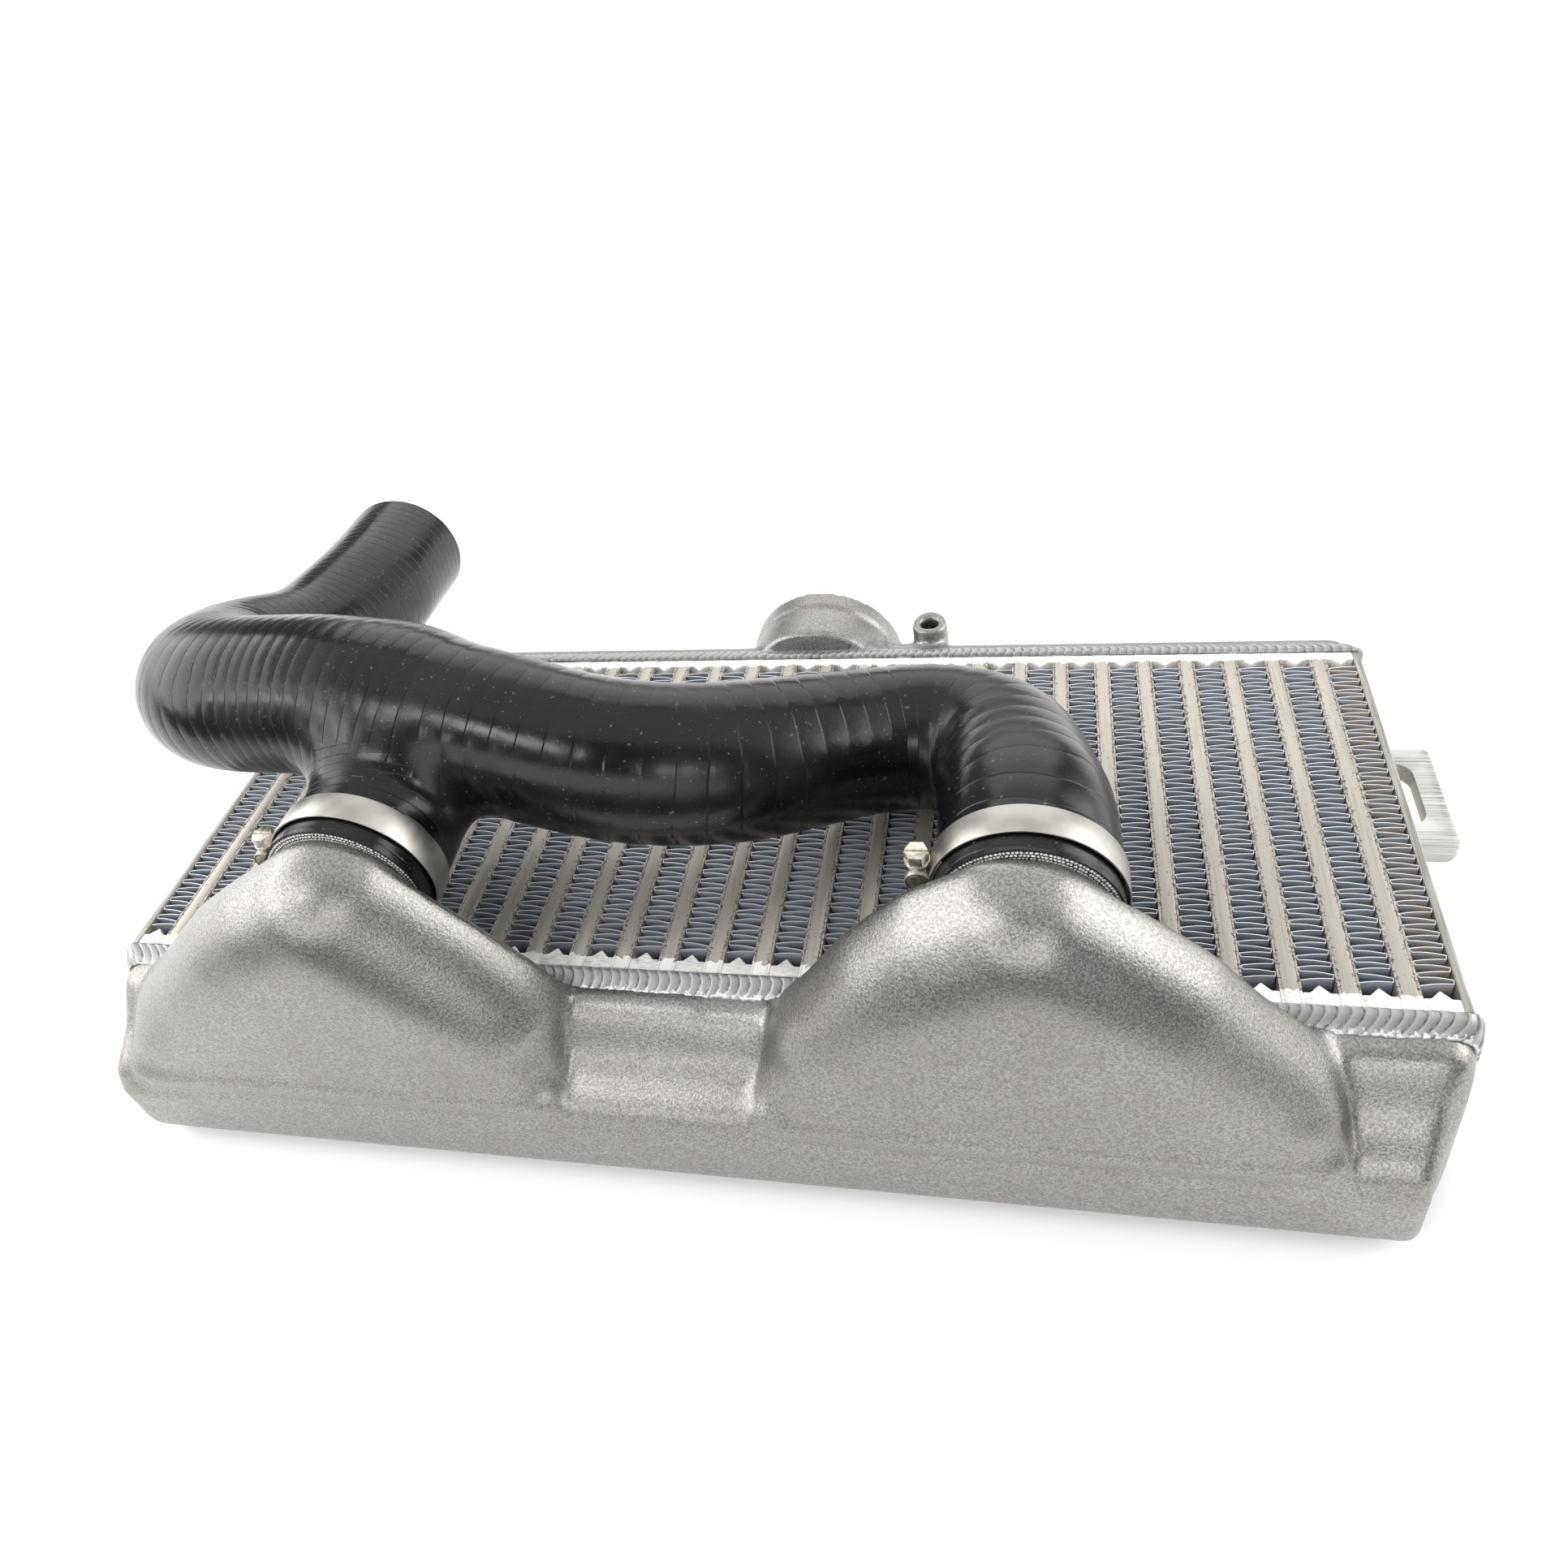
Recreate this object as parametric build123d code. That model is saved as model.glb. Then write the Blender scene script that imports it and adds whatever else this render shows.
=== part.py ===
from build123d import *
import os
from math import acos, atan2, cos, hypot, pi, radians, sin, tan

# Bar-and-plate charge-air cooler, lying core-down. X runs along the core, +Y from the inlet tank
# to the outlet tank, +Z up. The origin is the middle of the core's lower face.

# ---------------------------------------------------------------- driving dimensions (mm)
# brazed core
TUBE_COUNT = 27
TUBE_BAR_WIDTH = 5.3
TUBE_BAR_HEIGHT = 6.0
PARTING_SHEET = 0.8
AIR_FIN_HEIGHT = 11.0
SIDE_PLATE = 2.85
CORE_DEPTH = 176.0
CORE_THICKNESS = 76.0
HEADER_BAR_DEPTH = 4.7
HEADER_NOSE = 3.0
HEADER_SHOULDER = 2.4
AIR_FIN_FOLDS = 11
AIR_FIN_SHEET = 0.5
AIR_FIN_END_GAP = 1.0
TURBULATOR_FOLDS = 5
TURBULATOR_SHEET = 0.45
TURBULATOR_END_GAP = 3.0

# cast tanks
TANK_WALL = 4.0
TANK_STEP = 2.5
TANK_END_STEP = 0.3
TANK_LAND = 14.0
INLET_TANK_DEPTH = 42.5
INLET_RIDGE_DROP = 42.0
OUTLET_TANK_DEPTH = 27.0
OUTLET_RIDGE_DROP = 30.0
TANK_CROWN_RADIUS = 9.0
TANK_RIDGE_RADIUS = 7.0
TANK_BASE_RADIUS = 12.0
TANK_END_RADIUS = 8.0
WELD_DEPTH = 7.5
WELD_LIP = 0.5
WELD_PROUD = 1.0

# humps and necks of the inlet tank
RIGHT_NECK_FROM_END = 135.5
LEFT_NECK_FROM_END = 125.5
NECK_RISE = 50.0
NECK_RADIUS = 25.3
NECK_WALL = 4.0
NECK_ENGAGEMENT = 27.0
HUMP_APEX_RADIUS = 28.0
HUMP_SETBACK = 9.0
HUMP_FACE = 40.0
HUMP_EDGE_RADIUS = 16.0
HUMP_SHOULDER_RADIUS = 30.0
HUMP_FOOT_DROP = 92.0
RIGHT_HUMP_FEET = (-106.5, 103.5)
RIGHT_HUMP_SHOULDERS = ((-85.5, -44.0), (97.5, -55.0))
LEFT_HUMP_FEET = (-121.5, 78.5)
LEFT_HUMP_SHOULDERS = ((-115.5, -56.0), (64.0, -48.0))

# outlet pipe and its bolt boss
OUTLET_X = 9.0
OUTLET_HEIGHT = 46.5
OUTLET_RADIUS = 38.0
OUTLET_WALL = 4.0
OUTLET_LENGTH = 41.0
OUTLET_RIM = 10.0
OUTLET_GROOVE = 0.8
OUTLET_GROOVE_LENGTH = 6.0
BOSS_RADIUS = 8.5
BOSS_HOLE_RADIUS = 4.25
BOSS_HEIGHT = 24.0
BOSS_TOP = 80.0
BOSS_GAP = 9.0
BOSS_FROM_REAR = 22.0
BOSS_WEB = 7.0
BOSS_WEB_HEIGHT = 9.0

# milled bracket on the right side plate
BRACKET_LENGTH = 54.0
BRACKET_REACH = 24.5
BRACKET_THICKNESS = 8.5
BRACKET_TOP = 46.0
BRACKET_FRONT = 93.5
BRACKET_FRONT_ARM = 12.0
BRACKET_REAR_ARM = 9.0
BRACKET_OUTER_ARM = 8.5
BRACKET_CORNER = 3.0
BRACKET_SLOT_CORNER = 6.5
BRACKET_UNDERCUT = 4.0
BRACKET_BEAD = 3.0

# silicone hose
HOSE_CLEARANCE = 0.2
HOSE_WALL = 4.5
HOSE_LEG_RADIUS = 28.3
HOSE_TRUNK_RADIUS = 32.0
HOSE_TAIL_RADIUS = 30.5
HOSE_SETBACK = 7.3

# band clamps
CLAMP_CLEARANCE = 0.1
CLAMP_BRIDGE = 0.5
CLAMP_BRIDGE_ANGLE = 32.0
CLAMP_BAND = 0.8
CLAMP_WIDTH = 11.0
CLAMP_FROM_END = 6.0
TRUNNION_RADIUS = 3.2
TRUNNION_CLEARANCE = 0.1
TRUNNION_ANGLE = 10.0
CLAMP_SLOT = 5.4
CLAMP_SLOT_REACH = 2.0
SCREW_RADIUS = 2.0
SCREW_CLEARANCE = 0.15
SCREW_FLATS = 7.0
SCREW_HEAD = 4.0
SCREW_FLANGE_RADIUS = 4.2
SCREW_FLANGE = 0.9
SCREW_TAIL = 4.0
SCREW_SLOT = 1.0

# ---------------------------------------------------------------- worked-out places
TUBE_WIDTH = TUBE_BAR_WIDTH + 2 * PARTING_SHEET
TUBE_PITCH = TUBE_WIDTH + AIR_FIN_HEIGHT
ROW_COUNT = TUBE_COUNT + 1
CORE_LENGTH = TUBE_COUNT * TUBE_WIDTH + ROW_COUNT * AIR_FIN_HEIGHT + 2 * SIDE_PLATE
TUBES_X = [(i - (TUBE_COUNT - 1) / 2) * TUBE_PITCH for i in range(TUBE_COUNT)]
ROWS_X = [(i - (ROW_COUNT - 1) / 2) * TUBE_PITCH for i in range(ROW_COUNT)]
FRONT = -CORE_DEPTH / 2
REAR = CORE_DEPTH / 2
NECK_Z = CORE_THICKNESS + NECK_RISE
RIGHT_NECK_X = CORE_LENGTH / 2 - RIGHT_NECK_FROM_END
LEFT_NECK_X = -CORE_LENGTH / 2 + LEFT_NECK_FROM_END
HOSE_BORE_RADIUS = NECK_RADIUS + HOSE_CLEARANCE
HOSE_END_RADIUS = HOSE_BORE_RADIUS + HOSE_WALL
HOSE_END_Y = FRONT - HOSE_SETBACK
TANK_LENGTH = CORE_LENGTH - 2 * TANK_END_STEP
TANK_HEIGHT = CORE_THICKNESS - 2 * TANK_STEP
BRIDGE_RADIUS = HOSE_END_RADIUS + CLAMP_CLEARANCE
BAND_RADIUS = BRIDGE_RADIUS + CLAMP_BRIDGE + CLAMP_CLEARANCE
LOOP_RADIUS = TRUNNION_RADIUS + TRUNNION_CLEARANCE
LOOP_REACH = BAND_RADIUS + CLAMP_BAND + LOOP_RADIUS


def in_front(distance):
    """The Y of a plane that far out from the core's front face."""
    return FRONT - distance


def save(name, solids):
    """Write one node's solids to its STEP file."""
    group = solids[0] if len(solids) == 1 else Compound(children=solids)
    export_step(group, os.path.join("parts", name + ".step"))


# ---------------------------------------------------------------- brazed core
def block(width, depth, height, x, y, z):
    """A box centred on x and y, standing on z."""
    return Pos(x, y, z + height / 2) * Box(width, depth, height)


def corrugation(height, pitch, folds, sheet):
    """The folded strip's section: a zigzag along local Y that is height wide in local X."""
    slope = hypot(height, pitch) / pitch
    across = sheet * slope
    swing = height - across
    start = -folds * pitch / 2
    one_side = []
    for i in range(folds + 1):
        side = swing / 2 if i % 2 else -swing / 2
        one_side.append((side - across / 2, start + i * pitch))
    other_side = [(x + across, y) for x, y in reversed(one_side)]
    return make_face(Polyline(*one_side, *other_side, close=True))


def air_fins():
    """One folded fin strip in each cooling-air row, its folds running through the core."""
    run = CORE_DEPTH - 2 * (HEADER_BAR_DEPTH + HEADER_NOSE + AIR_FIN_END_GAP)
    section = corrugation(AIR_FIN_HEIGHT, run / AIR_FIN_FOLDS, AIR_FIN_FOLDS, AIR_FIN_SHEET)
    strip = extrude(section, CORE_THICKNESS)
    return [Pos(x, 0, 0) * strip for x in ROWS_X]


def turbulators():
    """One folded strip inside each charge tube, its folds running from tank to tank."""
    run = CORE_THICKNESS - 2 * (TUBE_BAR_HEIGHT + HEADER_NOSE)
    section = corrugation(TUBE_BAR_WIDTH, run / TURBULATOR_FOLDS, TURBULATOR_FOLDS, TURBULATOR_SHEET)
    length = CORE_DEPTH - 2 * TURBULATOR_END_GAP
    strip = extrude(Plane.XZ * section, length / 2, both=True)
    return [Pos(x, 0, CORE_THICKNESS / 2) * strip for x in TUBES_X]


def tube_bars():
    """The two bars that close the faces of each charge tube, with their noses inside."""
    half = TUBE_BAR_WIDTH / 2
    section = make_face(Polyline(
        (-half, 0), (half, 0), (half, TUBE_BAR_HEIGHT), (0, TUBE_BAR_HEIGHT + HEADER_NOSE / 2),
        (-half, TUBE_BAR_HEIGHT), close=True))
    lower = extrude(Plane.XZ * section, CORE_DEPTH / 2, both=True)
    upper = Pos(0, 0, CORE_THICKNESS) * Rot(0, 180, 0) * lower
    return [Pos(x, 0, 0) * bar for x in TUBES_X for bar in (lower, upper)]


def header_bars(outer_y, inward):
    """The bars that close the ends of the cooling-air rows, each with its pointed nose."""
    half = AIR_FIN_HEIGHT / 2
    section = make_face(Polyline(
        (-half, 0), (half, 0), (half, HEADER_BAR_DEPTH), (half - HEADER_SHOULDER, HEADER_BAR_DEPTH),
        (0, HEADER_BAR_DEPTH + HEADER_NOSE), (HEADER_SHOULDER - half, HEADER_BAR_DEPTH),
        (-half, HEADER_BAR_DEPTH), close=True))
    bar = extrude(section, CORE_THICKNESS)
    if inward < 0:
        bar = Rot(0, 0, 180) * bar
    return [Pos(x, outer_y, 0) * bar for x in ROWS_X]


def parting_sheets():
    """The sheets that part each charge tube from the cooling-air rows beside it."""
    offset = (TUBE_BAR_WIDTH + PARTING_SHEET) / 2
    sheet = block(PARTING_SHEET, CORE_DEPTH, CORE_THICKNESS, 0, 0, 0)
    return [Pos(x + side * offset, 0, 0) * sheet for x in TUBES_X for side in (-1, 1)]


def side_plate(side):
    """The plate that closes one end of the core."""
    return block(SIDE_PLATE, CORE_DEPTH, CORE_THICKNESS, side * (CORE_LENGTH - SIDE_PLATE) / 2, 0, 0)


# ---------------------------------------------------------------- tanks
def tank_section(depth, ridge_drop, inset):
    """A tank's outline across the core. Local X is the distance out from the core's face.

    The inset draws the whole outline in by a wall, and leaves the side at the core open.
    """
    low = TANK_STEP + inset
    top = CORE_THICKNESS - TANK_STEP - inset
    ridge = CORE_THICKNESS - ridge_drop
    lean = atan2(top + inset - ridge, depth - TANK_LAND)
    land = TANK_LAND - inset * tan(lean / 2)
    far = depth - inset
    ridge_in = ridge - inset * tan(pi / 4 - lean / 2)
    corners = [(0, low), (far, low), (far, ridge_in), (land, top), (0, top)]
    outline = make_face(Polyline(*corners, close=True))
    rounds = ((1, TANK_BASE_RADIUS - inset), (2, TANK_RIDGE_RADIUS), (3, TANK_CROWN_RADIUS))
    for index, radius in rounds:
        point = Vector(*corners[index])
        corner = outline.vertices().sort_by_distance(point)[0]
        outline = fillet(corner, radius)
    return outline


def tank_body(depth, ridge_drop, inset):
    """A tank's trough along the whole core, solid, with rounded ends."""
    length = TANK_LENGTH - 2 * inset
    section = tank_section(depth, ridge_drop, inset)
    body = extrude(Plane.YZ * section, length / 2, both=True)
    ends = body.faces().filter_by(Axis.X)
    mouth = body.faces().sort_by(Axis.Y)[0]
    mouth_edges = mouth.edges()
    rim = [e for e in ends.edges() if not any(e.is_same(m) for m in mouth_edges)]
    return fillet(rim, TANK_END_RADIUS - inset / 2)


def tangent_point(radius, foot, side):
    """Where the line from a foot touches a circle about the origin, on that side."""
    reach = hypot(*foot)
    turn = acos(radius / reach)
    angle = atan2(foot[1], foot[0]) + side * turn
    return (radius * cos(angle), radius * sin(angle))


def hump(neck_x, feet, shoulders, inset):
    """An arch under one neck: its flanks leave the round top and fall to rounded shoulders."""
    foot_z = -HUMP_FOOT_DROP
    left_foot, right_foot = (feet[0], foot_z), (feet[1], foot_z)
    left_touch = tangent_point(HUMP_APEX_RADIUS, shoulders[0], -1)
    right_touch = tangent_point(HUMP_APEX_RADIUS, shoulders[1], 1)
    outline = make_face([
        Line(right_foot, shoulders[1]),
        Line(shoulders[1], right_touch),
        ThreePointArc(right_touch, (0, HUMP_APEX_RADIUS), left_touch),
        Line(left_touch, shoulders[0]),
        Line(shoulders[0], left_foot),
        Line(left_foot, right_foot)])
    corners = [outline.vertices().sort_by_distance(Vector(*point))[0] for point in shoulders]
    outline = fillet(corners, HUMP_SHOULDER_RADIUS)
    if inset:
        outline = offset(outline, -inset, kind=Kind.INTERSECTION)
    thickness = HUMP_FACE - HUMP_SETBACK - 2 * inset
    arch = extrude(Plane.XZ * outline, thickness)
    front = arch.faces().sort_by(Axis.Y)[0].edges().sort_by(Axis.Z)[1:]
    arch = fillet(front, HUMP_EDGE_RADIUS - inset)
    return Pos(neck_x, in_front(HUMP_SETBACK + inset), NECK_Z) * arch


def along_y(radius, length, x, y, z):
    """A round bar that runs that far along +Y from y."""
    standing = Cylinder(radius, length, align=(Align.CENTER, Align.CENTER, Align.MIN))
    return Pos(x, y, z) * Rot(-90, 0, 0) * standing


def inlet_tank():
    """The casting that spreads two hose necks over the tubes' inlet ends."""
    body = tank_body(INLET_TANK_DEPTH, INLET_RIDGE_DROP, 0)
    body = Pos(0, FRONT, 0) * Rot(0, 0, 180) * body
    room = tank_body(INLET_TANK_DEPTH, INLET_RIDGE_DROP, TANK_WALL)
    room = Pos(0, FRONT, 0) * Rot(0, 0, 180) * room
    humps = (
        (RIGHT_NECK_X, RIGHT_HUMP_FEET, RIGHT_HUMP_SHOULDERS),
        (LEFT_NECK_X, LEFT_HUMP_FEET, LEFT_HUMP_SHOULDERS))
    for x, feet, shoulders in humps:
        body += hump(x, feet, shoulders, 0)
        room += hump(x, feet, shoulders, TANK_WALL)
        root = HUMP_SETBACK + TANK_WALL + 2
        length = root - HOSE_SETBACK + NECK_ENGAGEMENT
        body += along_y(NECK_RADIUS, length, x, in_front(root), NECK_Z)
        room += along_y(NECK_RADIUS - NECK_WALL, length, x, in_front(root), NECK_Z)
    return body - room


def outlet_tank():
    """The casting that gathers the tubes' outlet ends into one round pipe."""
    body = Pos(0, REAR, 0) * tank_body(OUTLET_TANK_DEPTH, OUTLET_RIDGE_DROP, 0)
    room = Pos(0, REAR, 0) * tank_body(OUTLET_TANK_DEPTH, OUTLET_RIDGE_DROP, TANK_WALL)
    root = WELD_DEPTH
    rim = OUTLET_LENGTH - OUTLET_RIM
    waist = OUTLET_RADIUS - OUTLET_GROOVE
    profile = make_face(Polyline(
        (0, root), (OUTLET_RADIUS, root), (OUTLET_RADIUS, rim - OUTLET_GROOVE_LENGTH),
        (waist, rim - OUTLET_GROOVE_LENGTH + OUTLET_GROOVE), (waist, rim - OUTLET_GROOVE),
        (OUTLET_RADIUS, rim), (OUTLET_RADIUS, OUTLET_LENGTH), (0, OUTLET_LENGTH), close=True))
    pipe = revolve(profile, Axis.Y)
    body += Pos(OUTLET_X, REAR, OUTLET_HEIGHT) * pipe
    boss_x = OUTLET_X + OUTLET_RADIUS + BOSS_GAP + BOSS_RADIUS
    boss_y = REAR + BOSS_FROM_REAR
    foot = BOSS_TOP - BOSS_HEIGHT
    body += Pos(boss_x, boss_y, foot + BOSS_HEIGHT / 2) * Cylinder(BOSS_RADIUS, BOSS_HEIGHT)
    web_length = BOSS_GAP + BOSS_RADIUS + OUTLET_RADIUS / 2
    body += block(web_length, BOSS_WEB, BOSS_WEB_HEIGHT, boss_x - web_length / 2, boss_y, foot)
    bore = root + OUTLET_WALL
    room += along_y(OUTLET_RADIUS - OUTLET_WALL, OUTLET_LENGTH - bore, OUTLET_X, REAR + bore, OUTLET_HEIGHT)
    room += Pos(boss_x, boss_y, foot + BOSS_HEIGHT / 2) * Cylinder(BOSS_HOLE_RADIUS, BOSS_HEIGHT)
    return body - room


def tank_weld():
    """The bead that fills the step between a tank's rim and the core's edge, all round."""
    outer = loft([
        Rectangle(CORE_LENGTH + 2 * WELD_PROUD, CORE_THICKNESS),
        Pos(0, 0, WELD_DEPTH) * Rectangle(TANK_LENGTH + 2 * WELD_PROUD, TANK_HEIGHT + 2 * WELD_LIP)])
    return outer - extrude(RectangleRounded(TANK_LENGTH, TANK_HEIGHT, TANK_END_RADIUS), WELD_DEPTH)


def inlet_weld():
    """The bead round the inlet tank, on the core's front face."""
    return Pos(0, FRONT, CORE_THICKNESS / 2) * Rot(90, 0, 0) * tank_weld()


def outlet_weld():
    """The bead round the outlet tank, on the core's rear face."""
    return Pos(0, REAR, CORE_THICKNESS / 2) * Rot(-90, 0, 0) * tank_weld()


# ---------------------------------------------------------------- bracket
def bracket_y(distance):
    """The Y that far behind the core's front face."""
    return FRONT + distance


def bracket():
    """A milled plate that makes a D-shaped loop with the side plate."""
    middle = bracket_y(BRACKET_FRONT + BRACKET_LENGTH / 2)
    plate = block(BRACKET_REACH, BRACKET_LENGTH, BRACKET_THICKNESS,
                  (CORE_LENGTH + BRACKET_REACH) / 2, middle, BRACKET_TOP - BRACKET_THICKNESS)
    undercut = plate.faces().sort_by(Axis.Z)[0].edges().filter_by(Axis.Y).sort_by(Axis.X)[-1]
    plate = chamfer(undercut, BRACKET_UNDERCUT)
    corners = plate.edges().filter_by(Axis.Z).group_by(Axis.X)[-1]
    plate = fillet(corners, BRACKET_CORNER)
    slot_length = BRACKET_LENGTH - BRACKET_FRONT_ARM - BRACKET_REAR_ARM
    slot_reach = BRACKET_REACH - BRACKET_OUTER_ARM
    slot_middle = bracket_y(BRACKET_FRONT + BRACKET_FRONT_ARM + slot_length / 2)
    slot = block(2 * slot_reach, slot_length, 3 * BRACKET_THICKNESS,
                 CORE_LENGTH / 2, slot_middle, BRACKET_TOP - 2 * BRACKET_THICKNESS)
    slot = fillet(slot.edges().filter_by(Axis.Z), BRACKET_SLOT_CORNER)
    return plate - slot


def bracket_welds():
    """Fillet beads under and over each arm, in the corner with the side plate."""
    beads = []
    section = make_face(Polyline((0, 0), (BRACKET_BEAD, 0), (0, BRACKET_BEAD), close=True))
    arms = (
        (BRACKET_FRONT, BRACKET_FRONT_ARM - 1),
        (BRACKET_FRONT + BRACKET_LENGTH - BRACKET_REAR_ARM + 1, BRACKET_REAR_ARM - 1))
    for start, length in arms:
        bead = extrude(Plane.XZ * section, -length)
        upper = Pos(CORE_LENGTH / 2, bracket_y(start), BRACKET_TOP) * bead
        flipped = Pos(0, length, 0) * Rot(180, 0, 0) * bead
        lower = Pos(CORE_LENGTH / 2, bracket_y(start), BRACKET_TOP - BRACKET_THICKNESS) * flipped
        beads += [upper, lower]
    return beads


# ---------------------------------------------------------------- hose
def hose_routes():
    """The two centre lines, as (point, outside radius, bend radius) at each corner."""
    def at(x, back, rise):
        return Vector(x, FRONT + back, CORE_THICKNESS + rise)

    right, left = RIGHT_NECK_X, LEFT_NECK_X
    end, leg, trunk, tail = HOSE_END_RADIUS, HOSE_LEG_RADIUS, HOSE_TRUNK_RADIUS, HOSE_TAIL_RADIUS
    mid = (leg + trunk) / 2
    main = [
        (at(right, -HOSE_SETBACK, NECK_RISE), end, 0),
        (at(right, 30, NECK_RISE), end, 46),
        (at(right - 11, 92, NECK_RISE - 19), leg, 30),
        (at(right - 53, 90, NECK_RISE - 18), leg, 50),
        (at(right - 132, 44, NECK_RISE + 7), mid, 110),
        (at(left - 26, 66, NECK_RISE + 28), trunk, 150),
        (at(left - 122, 71, NECK_RISE + 24), trunk, 38),
        (at(left - 95, 137, NECK_RISE - 8), tail + 0.5, 60),
        (at(left - 93, 189, NECK_RISE - 14), tail, 100),
        (at(left - 97, 235, NECK_RISE - 19), tail, 0)]
    branch = [
        (at(left, -HOSE_SETBACK, NECK_RISE), end, 0),
        (at(left, 30, NECK_RISE), end, 60),
        (at(left - 2, 62, NECK_RISE + 14), end - 1, 0)]
    return main, branch


def tube(route, inset):
    """A solid round bar along a route: cones on the runs, and part of a torus at each corner."""
    points = [corner[0] for corner in route]
    radii = [corner[1] - inset for corner in route]
    runs = [(b - a).normalized() for a, b in zip(points, points[1:])]
    trims = [0.0] * len(route)
    for i in range(1, len(route) - 1):
        turn = radians(runs[i - 1].get_angle(runs[i]))
        trims[i] = route[i][2] * tan(turn / 2)
    pieces = []
    for i, direction in enumerate(runs):
        start = points[i] + direction * trims[i]
        stop = points[i + 1] - direction * trims[i + 1]
        run = Plane(origin=start, z_dir=direction)
        length = (stop - start).length
        if abs(radii[i] - radii[i + 1]) < 0.01:
            pieces.append(Solid.make_cylinder(radii[i], length, run))
        else:
            pieces.append(Solid.make_cone(radii[i], radii[i + 1], length, run))
        if i + 2 < len(points):
            following = runs[i + 1]
            turn = direction.get_angle(following)
            normal = direction.cross(following).normalized()
            centre = stop + normal.cross(direction) * route[i + 1][2]
            disc = Plane(origin=stop, z_dir=direction) * Circle(radii[i + 1])
            pieces.append(revolve(disc, Axis(centre, normal), turn))
    bar = pieces[0]
    for piece in pieces[1:]:
        bar += piece
    return bar


def hose():
    """The moulded Y hose, open at its three ends."""
    main, branch = hose_routes()
    outside = tube(main, 0) + tube(branch, 0)
    inside = tube(main, HOSE_WALL) + tube(branch, HOSE_WALL)
    return outside - inside


# ---------------------------------------------------------------- band clamps
def clamp_places(neck_x):
    """The clamp's frame: X out to the screw's side, Y along the hose, and Z up."""
    middle = HOSE_END_Y + CLAMP_FROM_END + CLAMP_WIDTH / 2
    return Pos(neck_x, middle, NECK_Z)


def loop_centre(side):
    """The middle of the band's upper or lower loop, seen along the hose."""
    angle = radians(180 - side * TRUNNION_ANGLE)
    return LOOP_REACH * cos(angle), LOOP_REACH * sin(angle)


def ring(outer, inner, width):
    """A ring about Y."""
    return Rot(90, 0, 0) * (Cylinder(outer, width) - Cylinder(inner, width + 1))


def wedge(angle, reach, width):
    """A wedge about -X, for cutting a gap in a ring about Y."""
    rise = reach * tan(radians(angle))
    section = make_face(Polyline((0, 0), (-reach, rise), (-reach, -rise), close=True))
    return extrude(Plane.XZ * section, width / 2, both=True)


def clamp_band():
    """The band, with an end folded round each trunnion and slotted for the screw."""
    outer = BAND_RADIUS + CLAMP_BAND
    band = ring(outer, BAND_RADIUS, CLAMP_WIDTH) - wedge(TRUNNION_ANGLE, 2 * outer, 2 * CLAMP_WIDTH)
    x, z = loop_centre(1)
    eye = LOOP_RADIUS + CLAMP_BAND
    for height in (z, -z):
        band += Pos(x, 0, height) * ring(eye, LOOP_RADIUS, CLAMP_WIDTH)
    slot_end = x + CLAMP_SLOT_REACH
    slot = Box(2 * eye, CLAMP_SLOT, 2 * (z + 2 * eye), align=(Align.MAX, Align.CENTER, Align.CENTER))
    return band - Pos(slot_end, 0, 0) * slot


def clamp_bridge():
    """The strip that lies under the band's two ends and closes the gap between them."""
    strip = ring(BRIDGE_RADIUS + CLAMP_BRIDGE, BRIDGE_RADIUS, CLAMP_WIDTH)
    return strip & wedge(CLAMP_BRIDGE_ANGLE, 2 * BRIDGE_RADIUS, 2 * CLAMP_WIDTH)


def trunnion(side, hole_radius):
    """A cross pin in one loop, drilled for the screw."""
    x, z = loop_centre(side)
    pin = Rot(90, 0, 0) * Cylinder(TRUNNION_RADIUS, CLAMP_WIDTH)
    return Pos(x, 0, z) * (pin - Cylinder(hole_radius, 4 * TRUNNION_RADIUS))


def clamp_screw():
    """A flanged hexagon screw with a slot, through both trunnions."""
    x, z = loop_centre(1)
    seat = z + LOOP_RADIUS + CLAMP_BAND
    tail = -z - TRUNNION_RADIUS - SCREW_TAIL
    shank = Pos(0, 0, (seat + tail) / 2) * Cylinder(SCREW_RADIUS, seat - tail)
    flange = Pos(0, 0, seat + SCREW_FLANGE / 2) * Cylinder(SCREW_FLANGE_RADIUS, SCREW_FLANGE)
    hexagon = RegularPolygon(SCREW_FLATS / 2, 6, major_radius=False)
    head = Pos(0, 0, seat + SCREW_FLANGE) * extrude(hexagon, SCREW_HEAD)
    slot = Pos(0, 0, seat + SCREW_FLANGE + SCREW_HEAD) * Box(2 * SCREW_FLATS, SCREW_SLOT, 2 * SCREW_SLOT)
    return Pos(x, 0, 0) * (shank + flange + head - slot)


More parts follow.
